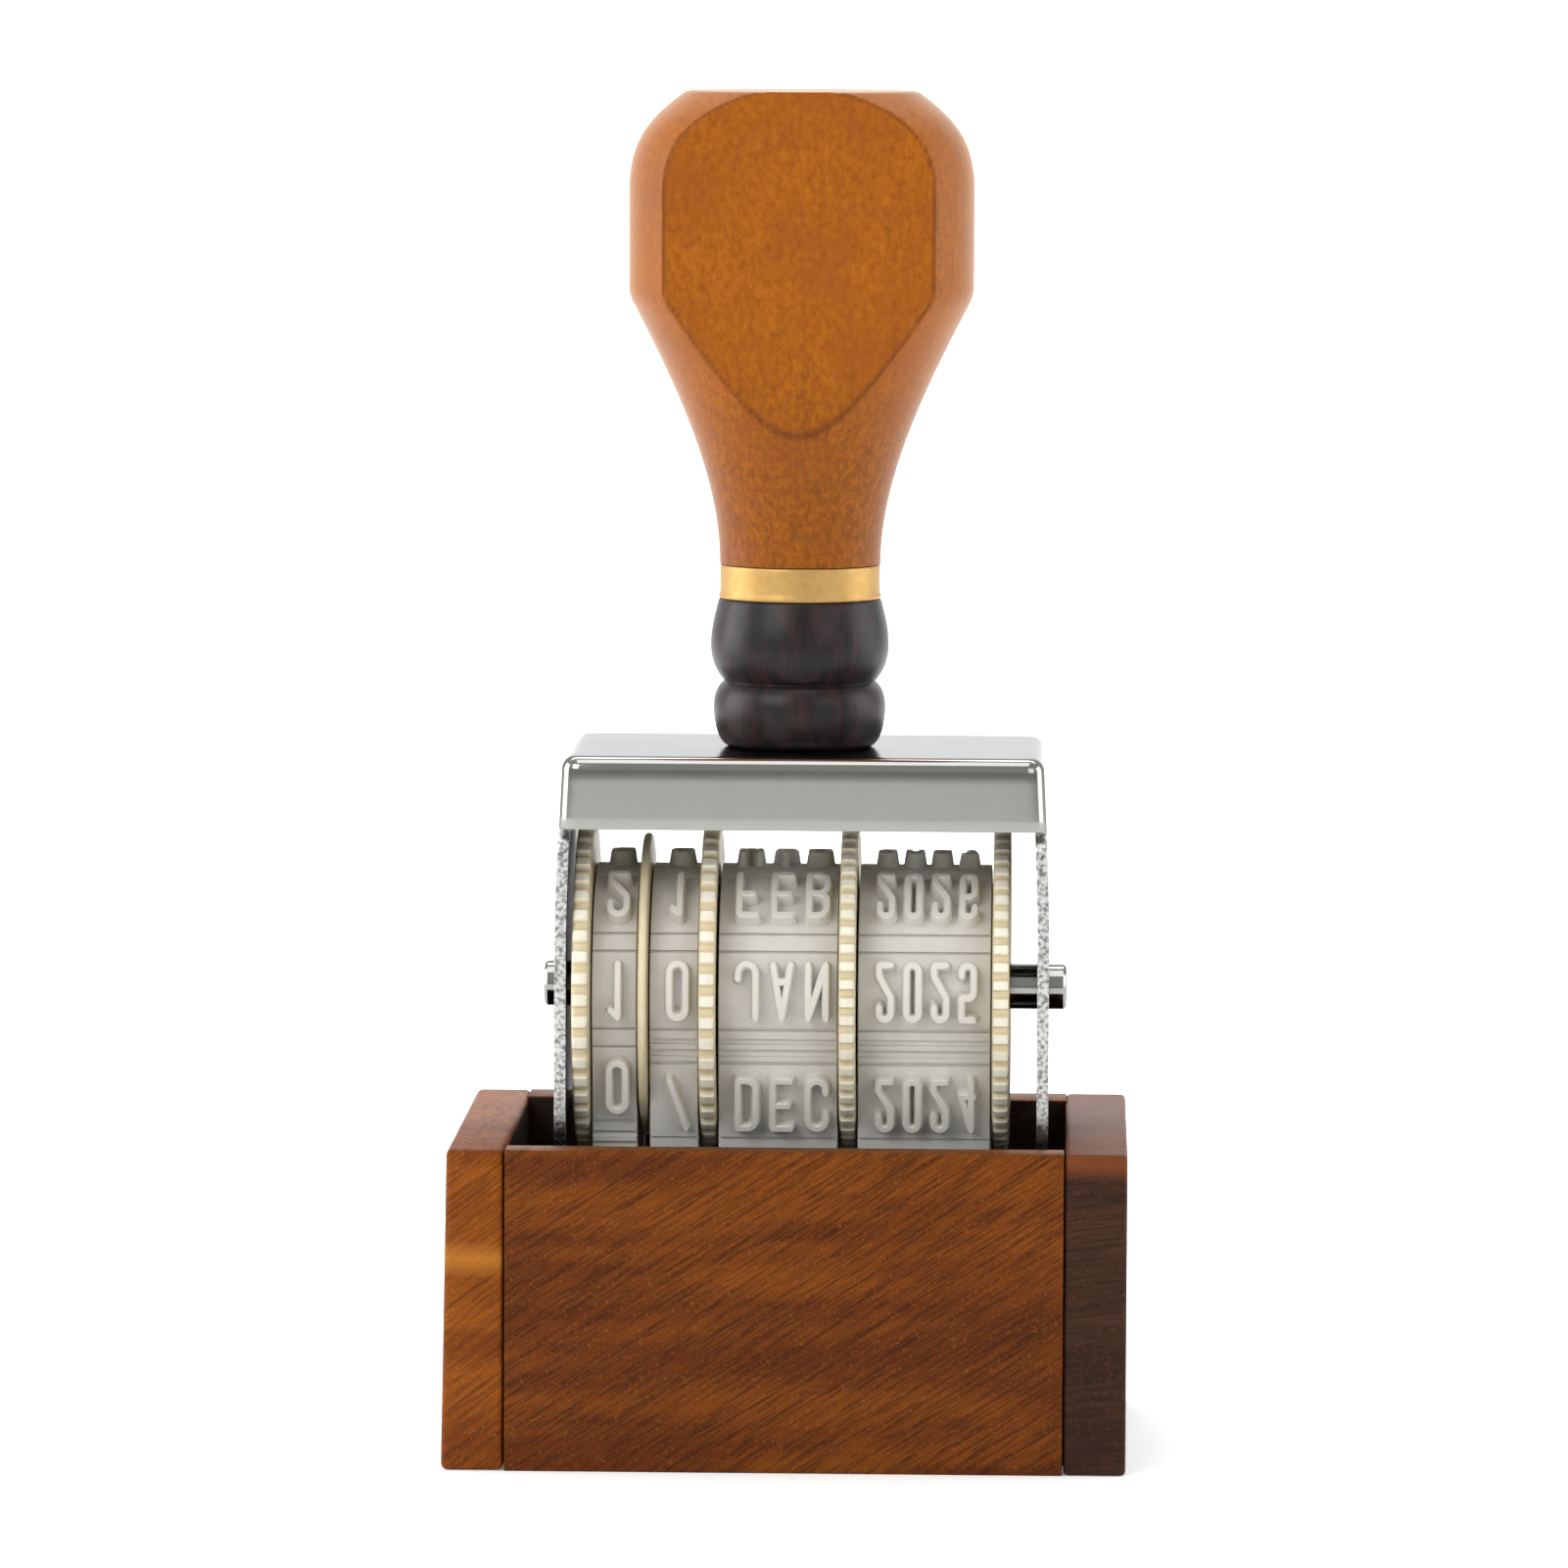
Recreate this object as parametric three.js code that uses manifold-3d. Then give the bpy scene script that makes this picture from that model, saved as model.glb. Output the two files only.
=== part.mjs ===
// Rotary date stamp: four rubber type bands round a wheel stack and a platen, in a chromed sheet
// frame with a turned wooden handle, standing in an open wooden holder.
// Millimetres, +Z up, -Y to the front. The origin is the centre of the holder's underside.

import * as THREE from 'three';
import { mergeVertices } from 'three/addons/utils/BufferGeometryUtils.js';
import Module from 'manifold-3d';

const wasm = await Module();
wasm.setup();

// Clearances
const STACK_GAP = 0.12;
const RUNNING_GAP = 0.05;
const FIT_GAP = 0.1;
const BAND_GAP = 0.3;
const REST_GAP = 0.1;

// Type bands
const BASE_THICKNESS = 1.2;
const TYPE_RISE = 1.2;
const TYPE_HEIGHT = 5;
const TYPE_MARGIN = 0.45;
const ROWS = 12;
const WIDE_STEP_EXTRA = 1.4;
const TENS_WIDTH = 3.65;
const UNITS_WIDTH = 3.95;
const MONTH_WIDTH = 9.7;
const YEAR_WIDTH = 10.8;

// Wheel stack
const HUB_RADIUS = 8.5;
const WHEEL_THICKNESS = 1.4;
const WHEEL_PROUD = 2.3;
const DAY_WHEEL_TEETH = 47;
const WIDE_WHEEL_TEETH = 57;
const TOOTH_DEPTH = 0.4;
const SEPARATOR_THICKNESS = 0.8;
const SEPARATOR_DROP = 1.1;
const SPINDLE_RADIUS = 1.85;
const SPINDLE_PROUD = 1.45;
const LEFT_END_PLAY = 0.44;
const RIGHT_END_PLAY = 2.24;

// Platen and its pins
const SPINDLE_TO_PRINT = 29.2;
const PRINT_HALF_DEPTH = 5;
const PRINT_EDGE_RADIUS = 2.2;
const PLATEN_HEIGHT = 5.2;
const PIN_RADIUS = 1;
const PIN_HEAD_RADIUS = 1.7;
const PIN_HEAD_THICKNESS = 0.6;
const PIN_DEPTH = 3;

// Sheet frame
const SHEET = 0.95;
const FRAME_DEPTH = 24.6;
const BEND_RADIUS = 1.1;
const CAP_HEADROOM = 5.25;
const LIP_DROP = 5.9;
const CAP_TAPER = 0.5;
const BOW_LENGTH = 9.5;
const SHOULDER_RADIUS = 4;
const SHOULDER_BELOW_SPINDLE = 13.3;
const NECK_HALF_DEPTH = 5;
const NECK_FILLET = 2.5;
const FOOT_RADIUS = 1.5;
const FOOT_LIFT = 0.5;

// Handle
const COLLAR_HEIGHT = 12.1;
const COLLAR_RADIUS = 7.3;
const FERRULE_HEIGHT = 2.9;
const FERRULE_RADIUS = 6.65;
const FERRULE_WALL = 0.8;
const GRIP_HEIGHT = 38.6;
const GRIP_RADIUS = 14.1;
const GRIP_TOP_RADIUS = 9.4;
const GRIP_NECK_RADIUS = 6.58;
const GRIP_ACROSS_FLATS = 17.74;
const SCREW_RADIUS = 1.9;
const SCREW_IN_GRIP = 16;
const SCREW_HEAD_RADIUS = 3.6;
const SCREW_HEAD_HEIGHT = 2.2;
const WASHER_RADIUS = 5;
const WASHER_THICKNESS = 0.8;

// Holder
const HOLDER_HEIGHT = 26;
const END_BOARD = 5;
const FRONT_BOARD = 3.2;
const BACK_BOARD = 5;
const FLOOR_BOARD = 8;
const SIDE_CLEARANCE = 2.53;
const FRONT_CLEARANCE = 3.8;
const BACK_CLEARANCE = 2;
const STAMP_SHIFT = 1.1;
const HANDLE_SHIFT = -0.6;

// Facets round a full turn
const ROUND_PARTS = 40;
const SMALL_PARTS = 24;
const GRIP_PARTS = 48;
const CURVE_STEPS = 5;

// Heights and radii that follow from the sizes above
const bandRadius = HUB_RADIUS + BAND_GAP + BASE_THICKNESS;
const wheelRadius = bandRadius + TYPE_RISE + WHEEL_PROUD;
const printZ = FLOOR_BOARD + REST_GAP;
const baseZ = printZ + TYPE_RISE;
const platenZ = baseZ + BASE_THICKNESS + BAND_GAP;
const spindleZ = printZ + SPINDLE_TO_PRINT;
const capTopZ = spindleZ + wheelRadius + CAP_HEADROOM + SHEET;
const lipZ = capTopZ - LIP_DROP;
const footZ = platenZ + FOOT_LIFT;
const pinZ = platenZ + PLATEN_HEIGHT / 2;
const collarTopZ = capTopZ + COLLAR_HEIGHT;
const gripZ = collarTopZ + FERRULE_HEIGHT;

// The stack along the spindle, from the left leg: each piece with its width
const stack = [
  ['day_tens_wheel', WHEEL_THICKNESS],
  ['day_tens_band', TENS_WIDTH],
  ['separator_disc', SEPARATOR_THICKNESS],
  ['day_units_band', UNITS_WIDTH],
  ['day_units_wheel', WHEEL_THICKNESS],
  ['month_band', MONTH_WIDTH],
  ['month_wheel', WHEEL_THICKNESS],
  ['year_band', YEAR_WIDTH],
  ['year_wheel', WHEEL_THICKNESS],
];
const stackLength = stack.reduce((sum, [, width]) => sum + width, 0) + STACK_GAP * (stack.length - 1);
const legInner = (stackLength + LEFT_END_PLAY + RIGHT_END_PLAY) / 2;
const legOuter = legInner + SHEET;
const place = {};
let stackX = -legInner + LEFT_END_PLAY;
for (const [name, width] of stack) {
  place[name] = { left: stackX, right: stackX + width };
  stackX += width + STACK_GAP;
}

// The holder closes round the frame and the wheels
const holderWidth = 2 * (legOuter + SIDE_CLEARANCE + END_BOARD);
const frontReach = wheelRadius + FRONT_CLEARANCE + FRONT_BOARD;
const backReach = wheelRadius + BACK_CLEARANCE + BACK_BOARD;
const holderDepth = frontReach + backReach;
const stampY = -holderDepth / 2 + frontReach;

// Materials
const paint = (color, roughness, metalness = 0) => () =>
  new THREE.MeshStandardMaterial({ color, roughness, metalness });
const gripWood = paint('#b4691b', 0.45);
const collarWood = paint('#372d30', 0.4);
const holderWood = paint('#87481a', 0.55);
const darkWood = paint('#46352d', 0.55);
const brass = paint('#c8a55a', 0.35, 1);
const chrome = paint('#a8aba5', 0.15, 1);
const steel = paint('#8d9092', 0.4, 1);
const rubber = paint('#c3beb7', 0.8);
const ivory = paint('#ebe4cd', 0.45);
const cream = paint('#dccdaa', 0.45);

// Solids
const toSolid = (geometry) => {
  const bare = geometry.index ? geometry.clone() : geometry;
  bare.deleteAttribute('normal');
  bare.deleteAttribute('uv');
  const merged = mergeVertices(bare, 1e-5);
  return new wasm.Manifold(new wasm.Mesh({
    numProp: 3,
    vertProperties: new Float32Array(merged.attributes.position.array),
    triVerts: new Uint32Array(merged.index.array),
  }));
};
const toGeometry = (solid) => {
  const { vertProperties, triVerts } = solid.getMesh();
  const geometry = new THREE.BufferGeometry();
  geometry.setAttribute('position', new THREE.BufferAttribute(vertProperties, 3));
  geometry.setIndex(new THREE.BufferAttribute(triVerts, 1));
  geometry.computeVertexNormals();
  return geometry;
};
const mesh = (name, geometry, material) => {
  const piece = new THREE.Mesh(geometry, material());
  piece.name = name;
  return piece;
};

// A box between two x, two y and two z values
const block = (x0, x1, y0, y1, z0, z1) =>
  new THREE.BoxGeometry(x1 - x0, y1 - y0, z1 - z0)
    .translate((x0 + x1) / 2, (y0 + y1) / 2, (z0 + z1) / 2);

// An outline drawn in (y, z), pulled along X
const alongX = (outline, x0, x1) => {
  const settings = { depth: x1 - x0, bevelEnabled: false, curveSegments: CURVE_STEPS };
  const turn = new THREE.Matrix4().set(0, 0, 1, x0, 1, 0, 0, 0, 0, 1, 0, 0, 0, 0, 0, 1);
  return new THREE.ExtrudeGeometry(outline, settings).applyMatrix4(turn);
};

// An outline drawn in (x, z), pulled along Y
const alongY = (outline, y0, y1) => {
  const settings = { depth: y1 - y0, bevelEnabled: false, curveSegments: CURVE_STEPS };
  const turn = new THREE.Matrix4().set(1, 0, 0, 0, 0, 0, -1, y1, 0, 1, 0, 0, 0, 0, 0, 1);
  return new THREE.ExtrudeGeometry(outline, settings).applyMatrix4(turn);
};

// A profile of (radius, z) turned round the Z axis, from the axis back to the axis
const turned = (profile, parts) =>
  new THREE.LatheGeometry(profile, parts).rotateX(Math.PI / 2);

// A rod along Z, centred on the Z axis
const rod = (radius, z0, z1, parts = SMALL_PARTS) =>
  new THREE.CylinderGeometry(radius, radius, z1 - z0, parts)
    .rotateX(Math.PI / 2)
    .translate(0, 0, (z0 + z1) / 2);

// A rod along X, centred on the X axis
const rodAlongX = (radius, x0, x1, parts = SMALL_PARTS) =>
  new THREE.CylinderGeometry(radius, radius, x1 - x0, parts)
    .rotateZ(-Math.PI / 2)
    .translate((x0 + x1) / 2, 0, 0);

// The vertex radius of a faceted hole that clears a round of the given radius
const holeFor = (radius, gap, parts = SMALL_PARTS) => (radius + gap) / Math.cos(Math.PI / parts);

// Holder: two full-depth end boards, with the front, back and floor boards between them
const holderParts = () => {
  const w = holderWidth / 2;
  const inner = w - END_BOARD;
  const d = holderDepth / 2;
  const front = -d + FRONT_BOARD;
  const back = d - BACK_BOARD;
  return [
    mesh('holder_left_end', block(-w, -inner, -d, d, 0, HOLDER_HEIGHT), holderWood),
    mesh('holder_right_end', block(inner, w, -d, d, 0, HOLDER_HEIGHT), darkWood),
    mesh('holder_front_panel', block(-inner, inner, -d, front, 0, HOLDER_HEIGHT), holderWood),
    mesh('holder_back_panel', block(-inner, inner, back, d, 0, HOLDER_HEIGHT), holderWood),
    mesh('holder_floor', block(-inner, inner, front, back, 0, FLOOR_BOARD), holderWood),
  ];
};

// Frame outline seen from the front: an inverted U whose legs bow out below the cap
const frontOutline = (inset) => {
  const shape = new THREE.Shape();
  const leg = legOuter - inset;
  const top = capTopZ - inset;
  const bend = BEND_RADIUS - inset;
  const shoulder = leg - CAP_TAPER;
  const side = (s) => [
    [s * leg, footZ],
    [s * leg, lipZ - BOW_LENGTH],
    [s * leg, lipZ - BOW_LENGTH / 2],
    [s * shoulder, top - bend],
  ];
  const [l0, l1, l2, l3] = side(-1);
  const [r0, r1, r2, r3] = side(1);
  shape.moveTo(...r0);
  shape.lineTo(...r1);
  shape.quadraticCurveTo(...r2, ...r3);
  shape.quadraticCurveTo(shoulder, top, shoulder - bend, top);
  shape.lineTo(-shoulder + bend, top);
  shape.quadraticCurveTo(-shoulder, top, ...l3);
  shape.quadraticCurveTo(...l2, ...l1);
  shape.lineTo(...l0);
  return shape;
};

// Frame outline seen from the side: cap and leg plate, shoulder, then the neck down to the platen
const sideOutline = () => {
  const shape = new THREE.Shape();
  const d = FRAME_DEPTH / 2;
  const shoulderZ = spindleZ - SHOULDER_BELOW_SPINDLE;
  const side = (s, path) => path.map(([y, z]) => [s * y, z]);
  const half = [
    [FOOT_RADIUS - NECK_HALF_DEPTH, footZ],
    [-NECK_HALF_DEPTH, footZ],
    [-NECK_HALF_DEPTH, footZ + FOOT_RADIUS],
    [-NECK_HALF_DEPTH, shoulderZ - NECK_FILLET],
    [-NECK_HALF_DEPTH, shoulderZ],
    [-NECK_HALF_DEPTH - NECK_FILLET, shoulderZ],
    [-d + SHOULDER_RADIUS, shoulderZ],
    [-d, shoulderZ],
    [-d, shoulderZ + SHOULDER_RADIUS],
    [-d, capTopZ - BEND_RADIUS],
    [-d, capTopZ],
    [-d + BEND_RADIUS, capTopZ],
  ];
  const left = side(1, half);
  const right = side(-1, half).reverse();
  const run = (p) => {
    shape.quadraticCurveTo(...p[1], ...p[2]);
  };
  shape.moveTo(...left[0]);
  run(left.slice(0, 3));
  shape.lineTo(...left[3]);
  run(left.slice(3, 6));
  shape.lineTo(...left[6]);
  run(left.slice(6, 9));
  shape.lineTo(...left[9]);
  run(left.slice(9, 12));
  shape.lineTo(...right[0]);
  run(right.slice(0, 3));
  shape.lineTo(...right[3]);
  run(right.slice(3, 6));
  shape.lineTo(...right[6]);
  run(right.slice(6, 9));
  shape.lineTo(...right[9]);
  run(right.slice(9, 12));
  return shape;
};

// Frame: two legs and a top plate from one sheet, with a lip at the front and the back
const framePart = () => {
  const d = FRAME_DEPTH / 2;
  const wide = legOuter + 1;
  const whole = toSolid(alongY(frontOutline(0), -d, d))
    .intersect(toSolid(alongX(sideOutline(), -wide, wide)));
  const underCap = toSolid(alongY(frontOutline(SHEET), -d + SHEET, d - SHEET));
  const betweenLegs = toSolid(alongY(frontOutline(SHEET), -d - 1, d + 1))
    .intersect(toSolid(block(-wide, wide, -d - 1, d + 1, 0, lipZ)));
  const spindleHole = holeFor(SPINDLE_RADIUS, RUNNING_GAP);
  const pinHole = holeFor(PIN_RADIUS, RUNNING_GAP);
  const screwHole = holeFor(SCREW_RADIUS, FIT_GAP);
  const solid = whole
    .subtract(underCap)
    .subtract(betweenLegs)
    .subtract(toSolid(rodAlongX(spindleHole, -wide, wide).translate(0, 0, spindleZ)))
    .subtract(toSolid(rodAlongX(pinHole, -wide, wide).translate(0, 0, pinZ)))
    .subtract(toSolid(rod(screwHole, capTopZ - SHEET - 1, capTopZ + 1).translate(HANDLE_SHIFT, 0, 0)));
  return mesh('sheet_frame', toGeometry(solid), chrome);
};

// Platen: the bar that the bands turn round at the bottom
const platenPart = () => {
  const y = PRINT_HALF_DEPTH - BASE_THICKNESS - BAND_GAP;
  const r = PRINT_EDGE_RADIUS - BASE_THICKNESS - BAND_GAP;
  const x = legInner - FIT_GAP;
  const shape = new THREE.Shape();
  shape.moveTo(-y, platenZ + PLATEN_HEIGHT);
  shape.lineTo(-y, platenZ + r);
  shape.quadraticCurveTo(-y, platenZ, -y + r, platenZ);
  shape.lineTo(y - r, platenZ);
  shape.quadraticCurveTo(y, platenZ, y, platenZ + r);
  shape.lineTo(y, platenZ + PLATEN_HEIGHT);
  const hole = holeFor(PIN_RADIUS, RUNNING_GAP);
  const depth = PIN_DEPTH + FIT_GAP;
  const solid = toSolid(alongX(shape, -x, x))
    .subtract(toSolid(rodAlongX(hole, -x - 1, -x + depth).translate(0, 0, pinZ)))
    .subtract(toSolid(rodAlongX(hole, x - depth, x + 1).translate(0, 0, pinZ)));
  return mesh('platen', toGeometry(solid), steel);
};

// Platen pins: a round head outside each leg and a shank into the platen's end
const pinPart = (name, s) => {
  const tip = legInner - FIT_GAP - PIN_DEPTH;
  const seat = legOuter + RUNNING_GAP;
  const profile = [
    [0, tip],
    [PIN_RADIUS, tip],
    [PIN_RADIUS, seat],
    [PIN_HEAD_RADIUS, seat],
    [PIN_HEAD_RADIUS, seat + PIN_HEAD_THICKNESS / 2],
    [PIN_HEAD_RADIUS * 0.6, seat + PIN_HEAD_THICKNESS],
    [0, seat + PIN_HEAD_THICKNESS],
  ].map(([r, z]) => new THREE.Vector2(r, z));
  const geometry = turned(profile, SMALL_PARTS).rotateY(s * Math.PI / 2).translate(0, 0, pinZ);
  return mesh(name, geometry, steel);
};

// The course of a band's base: flat under the platen, round its edges and over the hub.
// It is a list of lines and arcs, from the middle of the print face and back to it.
const bandCourse = () => {
  const edge = PRINT_EDGE_RADIUS;
  const cornerY = PRINT_HALF_DEPTH - edge;
  const cornerZ = baseZ + edge;
  const rise = spindleZ - cornerZ;
  const lean = Math.asin((bandRadius - edge) / Math.hypot(cornerY, rise)) - Math.atan2(cornerY, rise);
  const run = Math.sqrt(cornerY ** 2 + rise ** 2 - (bandRadius - edge) ** 2);
  const corner = { y: cornerY, z: cornerZ };
  const quarter = Math.PI / 2;
  return [
    { from: { y: 0, z: baseZ }, turn: -quarter, length: cornerY },
    { centre: corner, radius: edge, turn: -quarter, sweep: quarter - lean },
    { from: null, turn: -lean, length: run },
    { centre: { y: 0, z: spindleZ }, radius: bandRadius, turn: -lean, sweep: 2 * (quarter + lean) },
    { from: null, turn: 2 * quarter + lean, length: run },
    { centre: { y: -cornerY, z: cornerZ }, radius: edge, turn: 2 * quarter + lean, sweep: quarter - lean },
    { from: null, turn: 3 * quarter, length: cornerY },
  ];
};
const course = bandCourse();
let courseStart = course[0].from;
let courseLength = 0;
for (const piece of course) {
  piece.start = courseLength;
  if (piece.centre) {
    piece.length = piece.radius * piece.sweep;
    const end = piece.turn + piece.sweep;
    courseStart = {
      y: piece.centre.y + piece.radius * Math.cos(end),
      z: piece.centre.z + piece.radius * Math.sin(end),
    };
  } else {
    piece.from = courseStart;
    courseStart = {
      y: courseStart.y - piece.length * Math.sin(piece.turn),
      z: courseStart.z + piece.length * Math.cos(piece.turn),
    };
  }
  courseLength += piece.length;
}

// The point at a distance along the course, set off from it along its outward normal
const coursePoint = (distance, offset) => {
  const s = ((distance % courseLength) + courseLength) % courseLength;
  const piece = course.findLast((candidate) => candidate.start <= s + 1e-9);
  const along = s - piece.start;
  const turn = piece.centre ? piece.turn + along / piece.radius : piece.turn;
  const base = piece.centre
    ? { y: piece.centre.y + piece.radius * Math.cos(turn), z: piece.centre.z + piece.radius * Math.sin(turn) }
    : { y: piece.from.y - along * Math.sin(turn), z: piece.from.z + along * Math.cos(turn) };
  return new THREE.Vector2(base.y + offset * Math.cos(turn), base.z + offset * Math.sin(turn));
};

// Stops along the course: the ends of its lines, and a few stops round each arc
const courseStops = course.flatMap((piece) => {
  const steps = piece.centre ? Math.ceil(piece.sweep / (Math.PI / 10)) : 1;
  return Array.from({ length: steps }, (_, i) => piece.start + (piece.length * i) / steps);
});

// Where a row of type is centred: equal steps, and one wider step where the band's ends are joined
const rowStep = (courseLength - WIDE_STEP_EXTRA) / ROWS;
const rowCentre = (row, joint) => row * rowStep + (row > joint ? WIDE_STEP_EXTRA : 0);

// A raised pad of type, as an outline that follows the course round its centre
const padOutline = (centre) => {
  const half = TYPE_HEIGHT / 2;
  const sunk = -BASE_THICKNESS / 2;
  const stops = [-half, -half / 2, 0, half / 2, half].map((step) => centre + step);
  const shape = new THREE.Shape();
  shape.setFromPoints([
    ...stops.map((s) => coursePoint(s, TYPE_RISE)),
    ...stops.reverse().map((s) => coursePoint(s, sunk)),
  ]);
  return shape;
};

// Rubber band: a smooth base loop with a raised pad for each row of type.
// The joint is the row that comes just before the wide step.
const bandPart = (name, joint) => {
  const { left, right } = place[name];
  const loop = new THREE.Shape(courseStops.map((s) => coursePoint(s, 0)));
  loop.holes.push(new THREE.Path(courseStops.map((s) => coursePoint(s, -BASE_THICKNESS))));
  let solid = toSolid(alongX(loop, left, right));
  for (let row = 0; row < ROWS; row += 1) {
    const outline = padOutline(rowCentre(row, joint));
    solid = solid.add(toSolid(alongX(outline, left + TYPE_MARGIN, right - TYPE_MARGIN)));
  }
  return mesh(name, toGeometry(solid), rubber);
};

// Thumb wheel: a knurled rim and the hub that turns its band, on a bore that runs on the spindle
const wheelPart = (wheel, band, teeth) => {
  const at = place[wheel];
  const beside = place[band];
  const knurl = Array.from({ length: 2 * teeth }, (_, i) => {
    const angle = (Math.PI * i) / teeth;
    const radius = wheelRadius - (i % 2 ? TOOTH_DEPTH : 0);
    return new THREE.Vector2(radius * Math.cos(angle), radius * Math.sin(angle));
  });
  const middle = (at.left + at.right) / 2;
  const hubEnds = beside.left > at.left ? [middle, beside.right] : [beside.left, middle];
  const bore = holeFor(SPINDLE_RADIUS, RUNNING_GAP);
  const solid = toSolid(alongX(new THREE.Shape(knurl), at.left, at.right))
    .add(toSolid(rodAlongX(HUB_RADIUS, ...hubEnds, ROUND_PARTS)))
    .subtract(toSolid(rodAlongX(bore, -legOuter, legOuter)));
  const piece = mesh(wheel, toGeometry(solid), ivory);
  piece.position.z = spindleZ;
  return piece;
};

// Separator: a thin smooth disc between the two day bands
const separatorPart = () => {
  const { left, right } = place.separator_disc;
  const radius = wheelRadius - SEPARATOR_DROP;
  const bore = holeFor(SPINDLE_RADIUS, RUNNING_GAP);
  const solid = toSolid(rodAlongX(radius, left, right, ROUND_PARTS))
    .subtract(toSolid(rodAlongX(bore, -legOuter, legOuter)));
  const piece = mesh('separator_disc', toGeometry(solid), cream);
  piece.position.z = spindleZ;
  return piece;
};

const spindlePart = () => {
  const end = legOuter + SPINDLE_PROUD;
  const piece = mesh('spindle', rodAlongX(SPINDLE_RADIUS, -end, end), chrome);
  piece.position.z = spindleZ;
  return piece;
};

// Collar: two turned beads with a groove between them
const collarPart = () => {
  const at = (r, h) => [COLLAR_RADIUS * r, capTopZ + COLLAR_HEIGHT * h];
  const path = new THREE.Path();
  path.moveTo(0, capTopZ);
  path.lineTo(...at(0.8, 0));
  path.bezierCurveTo(...at(0.9, 0.02), ...at(0.965, 0.15), ...at(0.965, 0.27));
  path.bezierCurveTo(...at(0.965, 0.37), ...at(0.9, 0.42), ...at(0.85, 0.445));
  path.bezierCurveTo(...at(0.9, 0.48), ...at(1, 0.56), ...at(1, 0.69));
  path.bezierCurveTo(...at(1, 0.82), ...at(0.94, 0.92), ...at(0.92, 1));
  path.lineTo(0, collarTopZ);
  const bore = rod(holeFor(SCREW_RADIUS, FIT_GAP), capTopZ - 1, collarTopZ + 1);
  const solid = toSolid(turned(path.getPoints(4), ROUND_PARTS)).subtract(toSolid(bore));
  return mesh('collar', toGeometry(solid), collarWood);
};

// Ferrule: a plain brass ring round the grip's tenon
const ferrulePart = () => {
  const hole = rod(FERRULE_RADIUS - FERRULE_WALL, collarTopZ - 1, gripZ + 1, ROUND_PARTS);
  const solid = toSolid(rod(FERRULE_RADIUS, collarTopZ, gripZ, ROUND_PARTS)).subtract(toSolid(hole));
  return mesh('ferrule', toGeometry(solid), brass);
};

// Grip: a turned bulb with two flats, a tenon inside the ferrule and a pilot hole for the screw
const gripPart = () => {
  const top = gripZ + GRIP_HEIGHT;
  const at = (h) => gripZ + GRIP_HEIGHT * h;
  const neck = GRIP_NECK_RADIUS;
  const mix = (t) => neck + (GRIP_RADIUS - neck) * t;
  const tenon = FERRULE_RADIUS - FERRULE_WALL - FIT_GAP;
  const path = new THREE.Path();
  path.moveTo(0, collarTopZ + FIT_GAP);
  path.lineTo(tenon, collarTopZ + FIT_GAP);
  path.lineTo(tenon, gripZ);
  path.lineTo(neck, gripZ);
  path.bezierCurveTo(neck, at(0.168), mix(0.41), at(0.35), mix(0.955), at(0.552));
  path.quadraticCurveTo(GRIP_RADIUS, at(0.57), GRIP_RADIUS, at(0.59));
  path.lineTo(GRIP_RADIUS, at(0.79));
  path.bezierCurveTo(GRIP_RADIUS, at(0.896), mix(0.78), at(0.943), GRIP_TOP_RADIUS, top);
  path.lineTo(0, top);
  const flat = GRIP_ACROSS_FLATS / 2;
  const wide = GRIP_RADIUS + 1;
  const pilotEnd = collarTopZ + SCREW_IN_GRIP + FIT_GAP;
  const pilot = rod(holeFor(SCREW_RADIUS, FIT_GAP), collarTopZ - 1, pilotEnd);
  const solid = toSolid(turned(path.getPoints(7), GRIP_PARTS))
    .intersect(toSolid(block(-wide, wide, -flat, flat, collarTopZ - 1, top + 1)))
    .subtract(toSolid(pilot));
  return mesh('grip', toGeometry(solid), gripWood);
};

// Handle screw: up through washer, top plate and collar into the grip
const screwPart = () => {
  const seat = capTopZ - SHEET - WASHER_THICKNESS;
  const tip = collarTopZ + SCREW_IN_GRIP;
  const profile = [
    [0, seat - SCREW_HEAD_HEIGHT],
    [SCREW_HEAD_RADIUS * 0.8, seat - SCREW_HEAD_HEIGHT],
    [SCREW_HEAD_RADIUS, seat - SCREW_HEAD_HEIGHT / 2],
    [SCREW_HEAD_RADIUS, seat],
    [SCREW_RADIUS, seat],
    [SCREW_RADIUS, tip - 2 * SCREW_RADIUS],
    [0, tip],
  ].map(([r, z]) => new THREE.Vector2(r, z));
  return mesh('handle_screw', turned(profile, SMALL_PARTS), steel);
};

const washerPart = () => {
  const top = capTopZ - SHEET;
  const hole = rod(holeFor(SCREW_RADIUS, FIT_GAP), top - WASHER_THICKNESS - 1, top + 1);
  const solid = toSolid(rod(WASHER_RADIUS, top - WASHER_THICKNESS, top)).subtract(toSolid(hole));
  return mesh('screw_washer', toGeometry(solid), steel);
};

// Assembly
const holder = new THREE.Group();
holder.add(...holderParts());

const wheels = new THREE.Group();
for (const set of ['day_tens', 'day_units']) {
  wheels.add(wheelPart(`${set}_wheel`, `${set}_band`, DAY_WHEEL_TEETH));
}
for (const set of ['month', 'year']) {
  wheels.add(wheelPart(`${set}_wheel`, `${set}_band`, WIDE_WHEEL_TEETH));
}

const stamp = new THREE.Group();
stamp.position.set(STAMP_SHIFT, stampY, 0);
stamp.add(framePart(), spindlePart(), separatorPart(), wheels);
stamp.add(platenPart(), pinPart('platen_pin_left', -1), pinPart('platen_pin_right', 1));
for (const [set, joint] of [['day_tens', 9], ['day_units', 8], ['month', 8], ['year', 8]]) {
  stamp.add(bandPart(`${set}_band`, joint));
}

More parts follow.
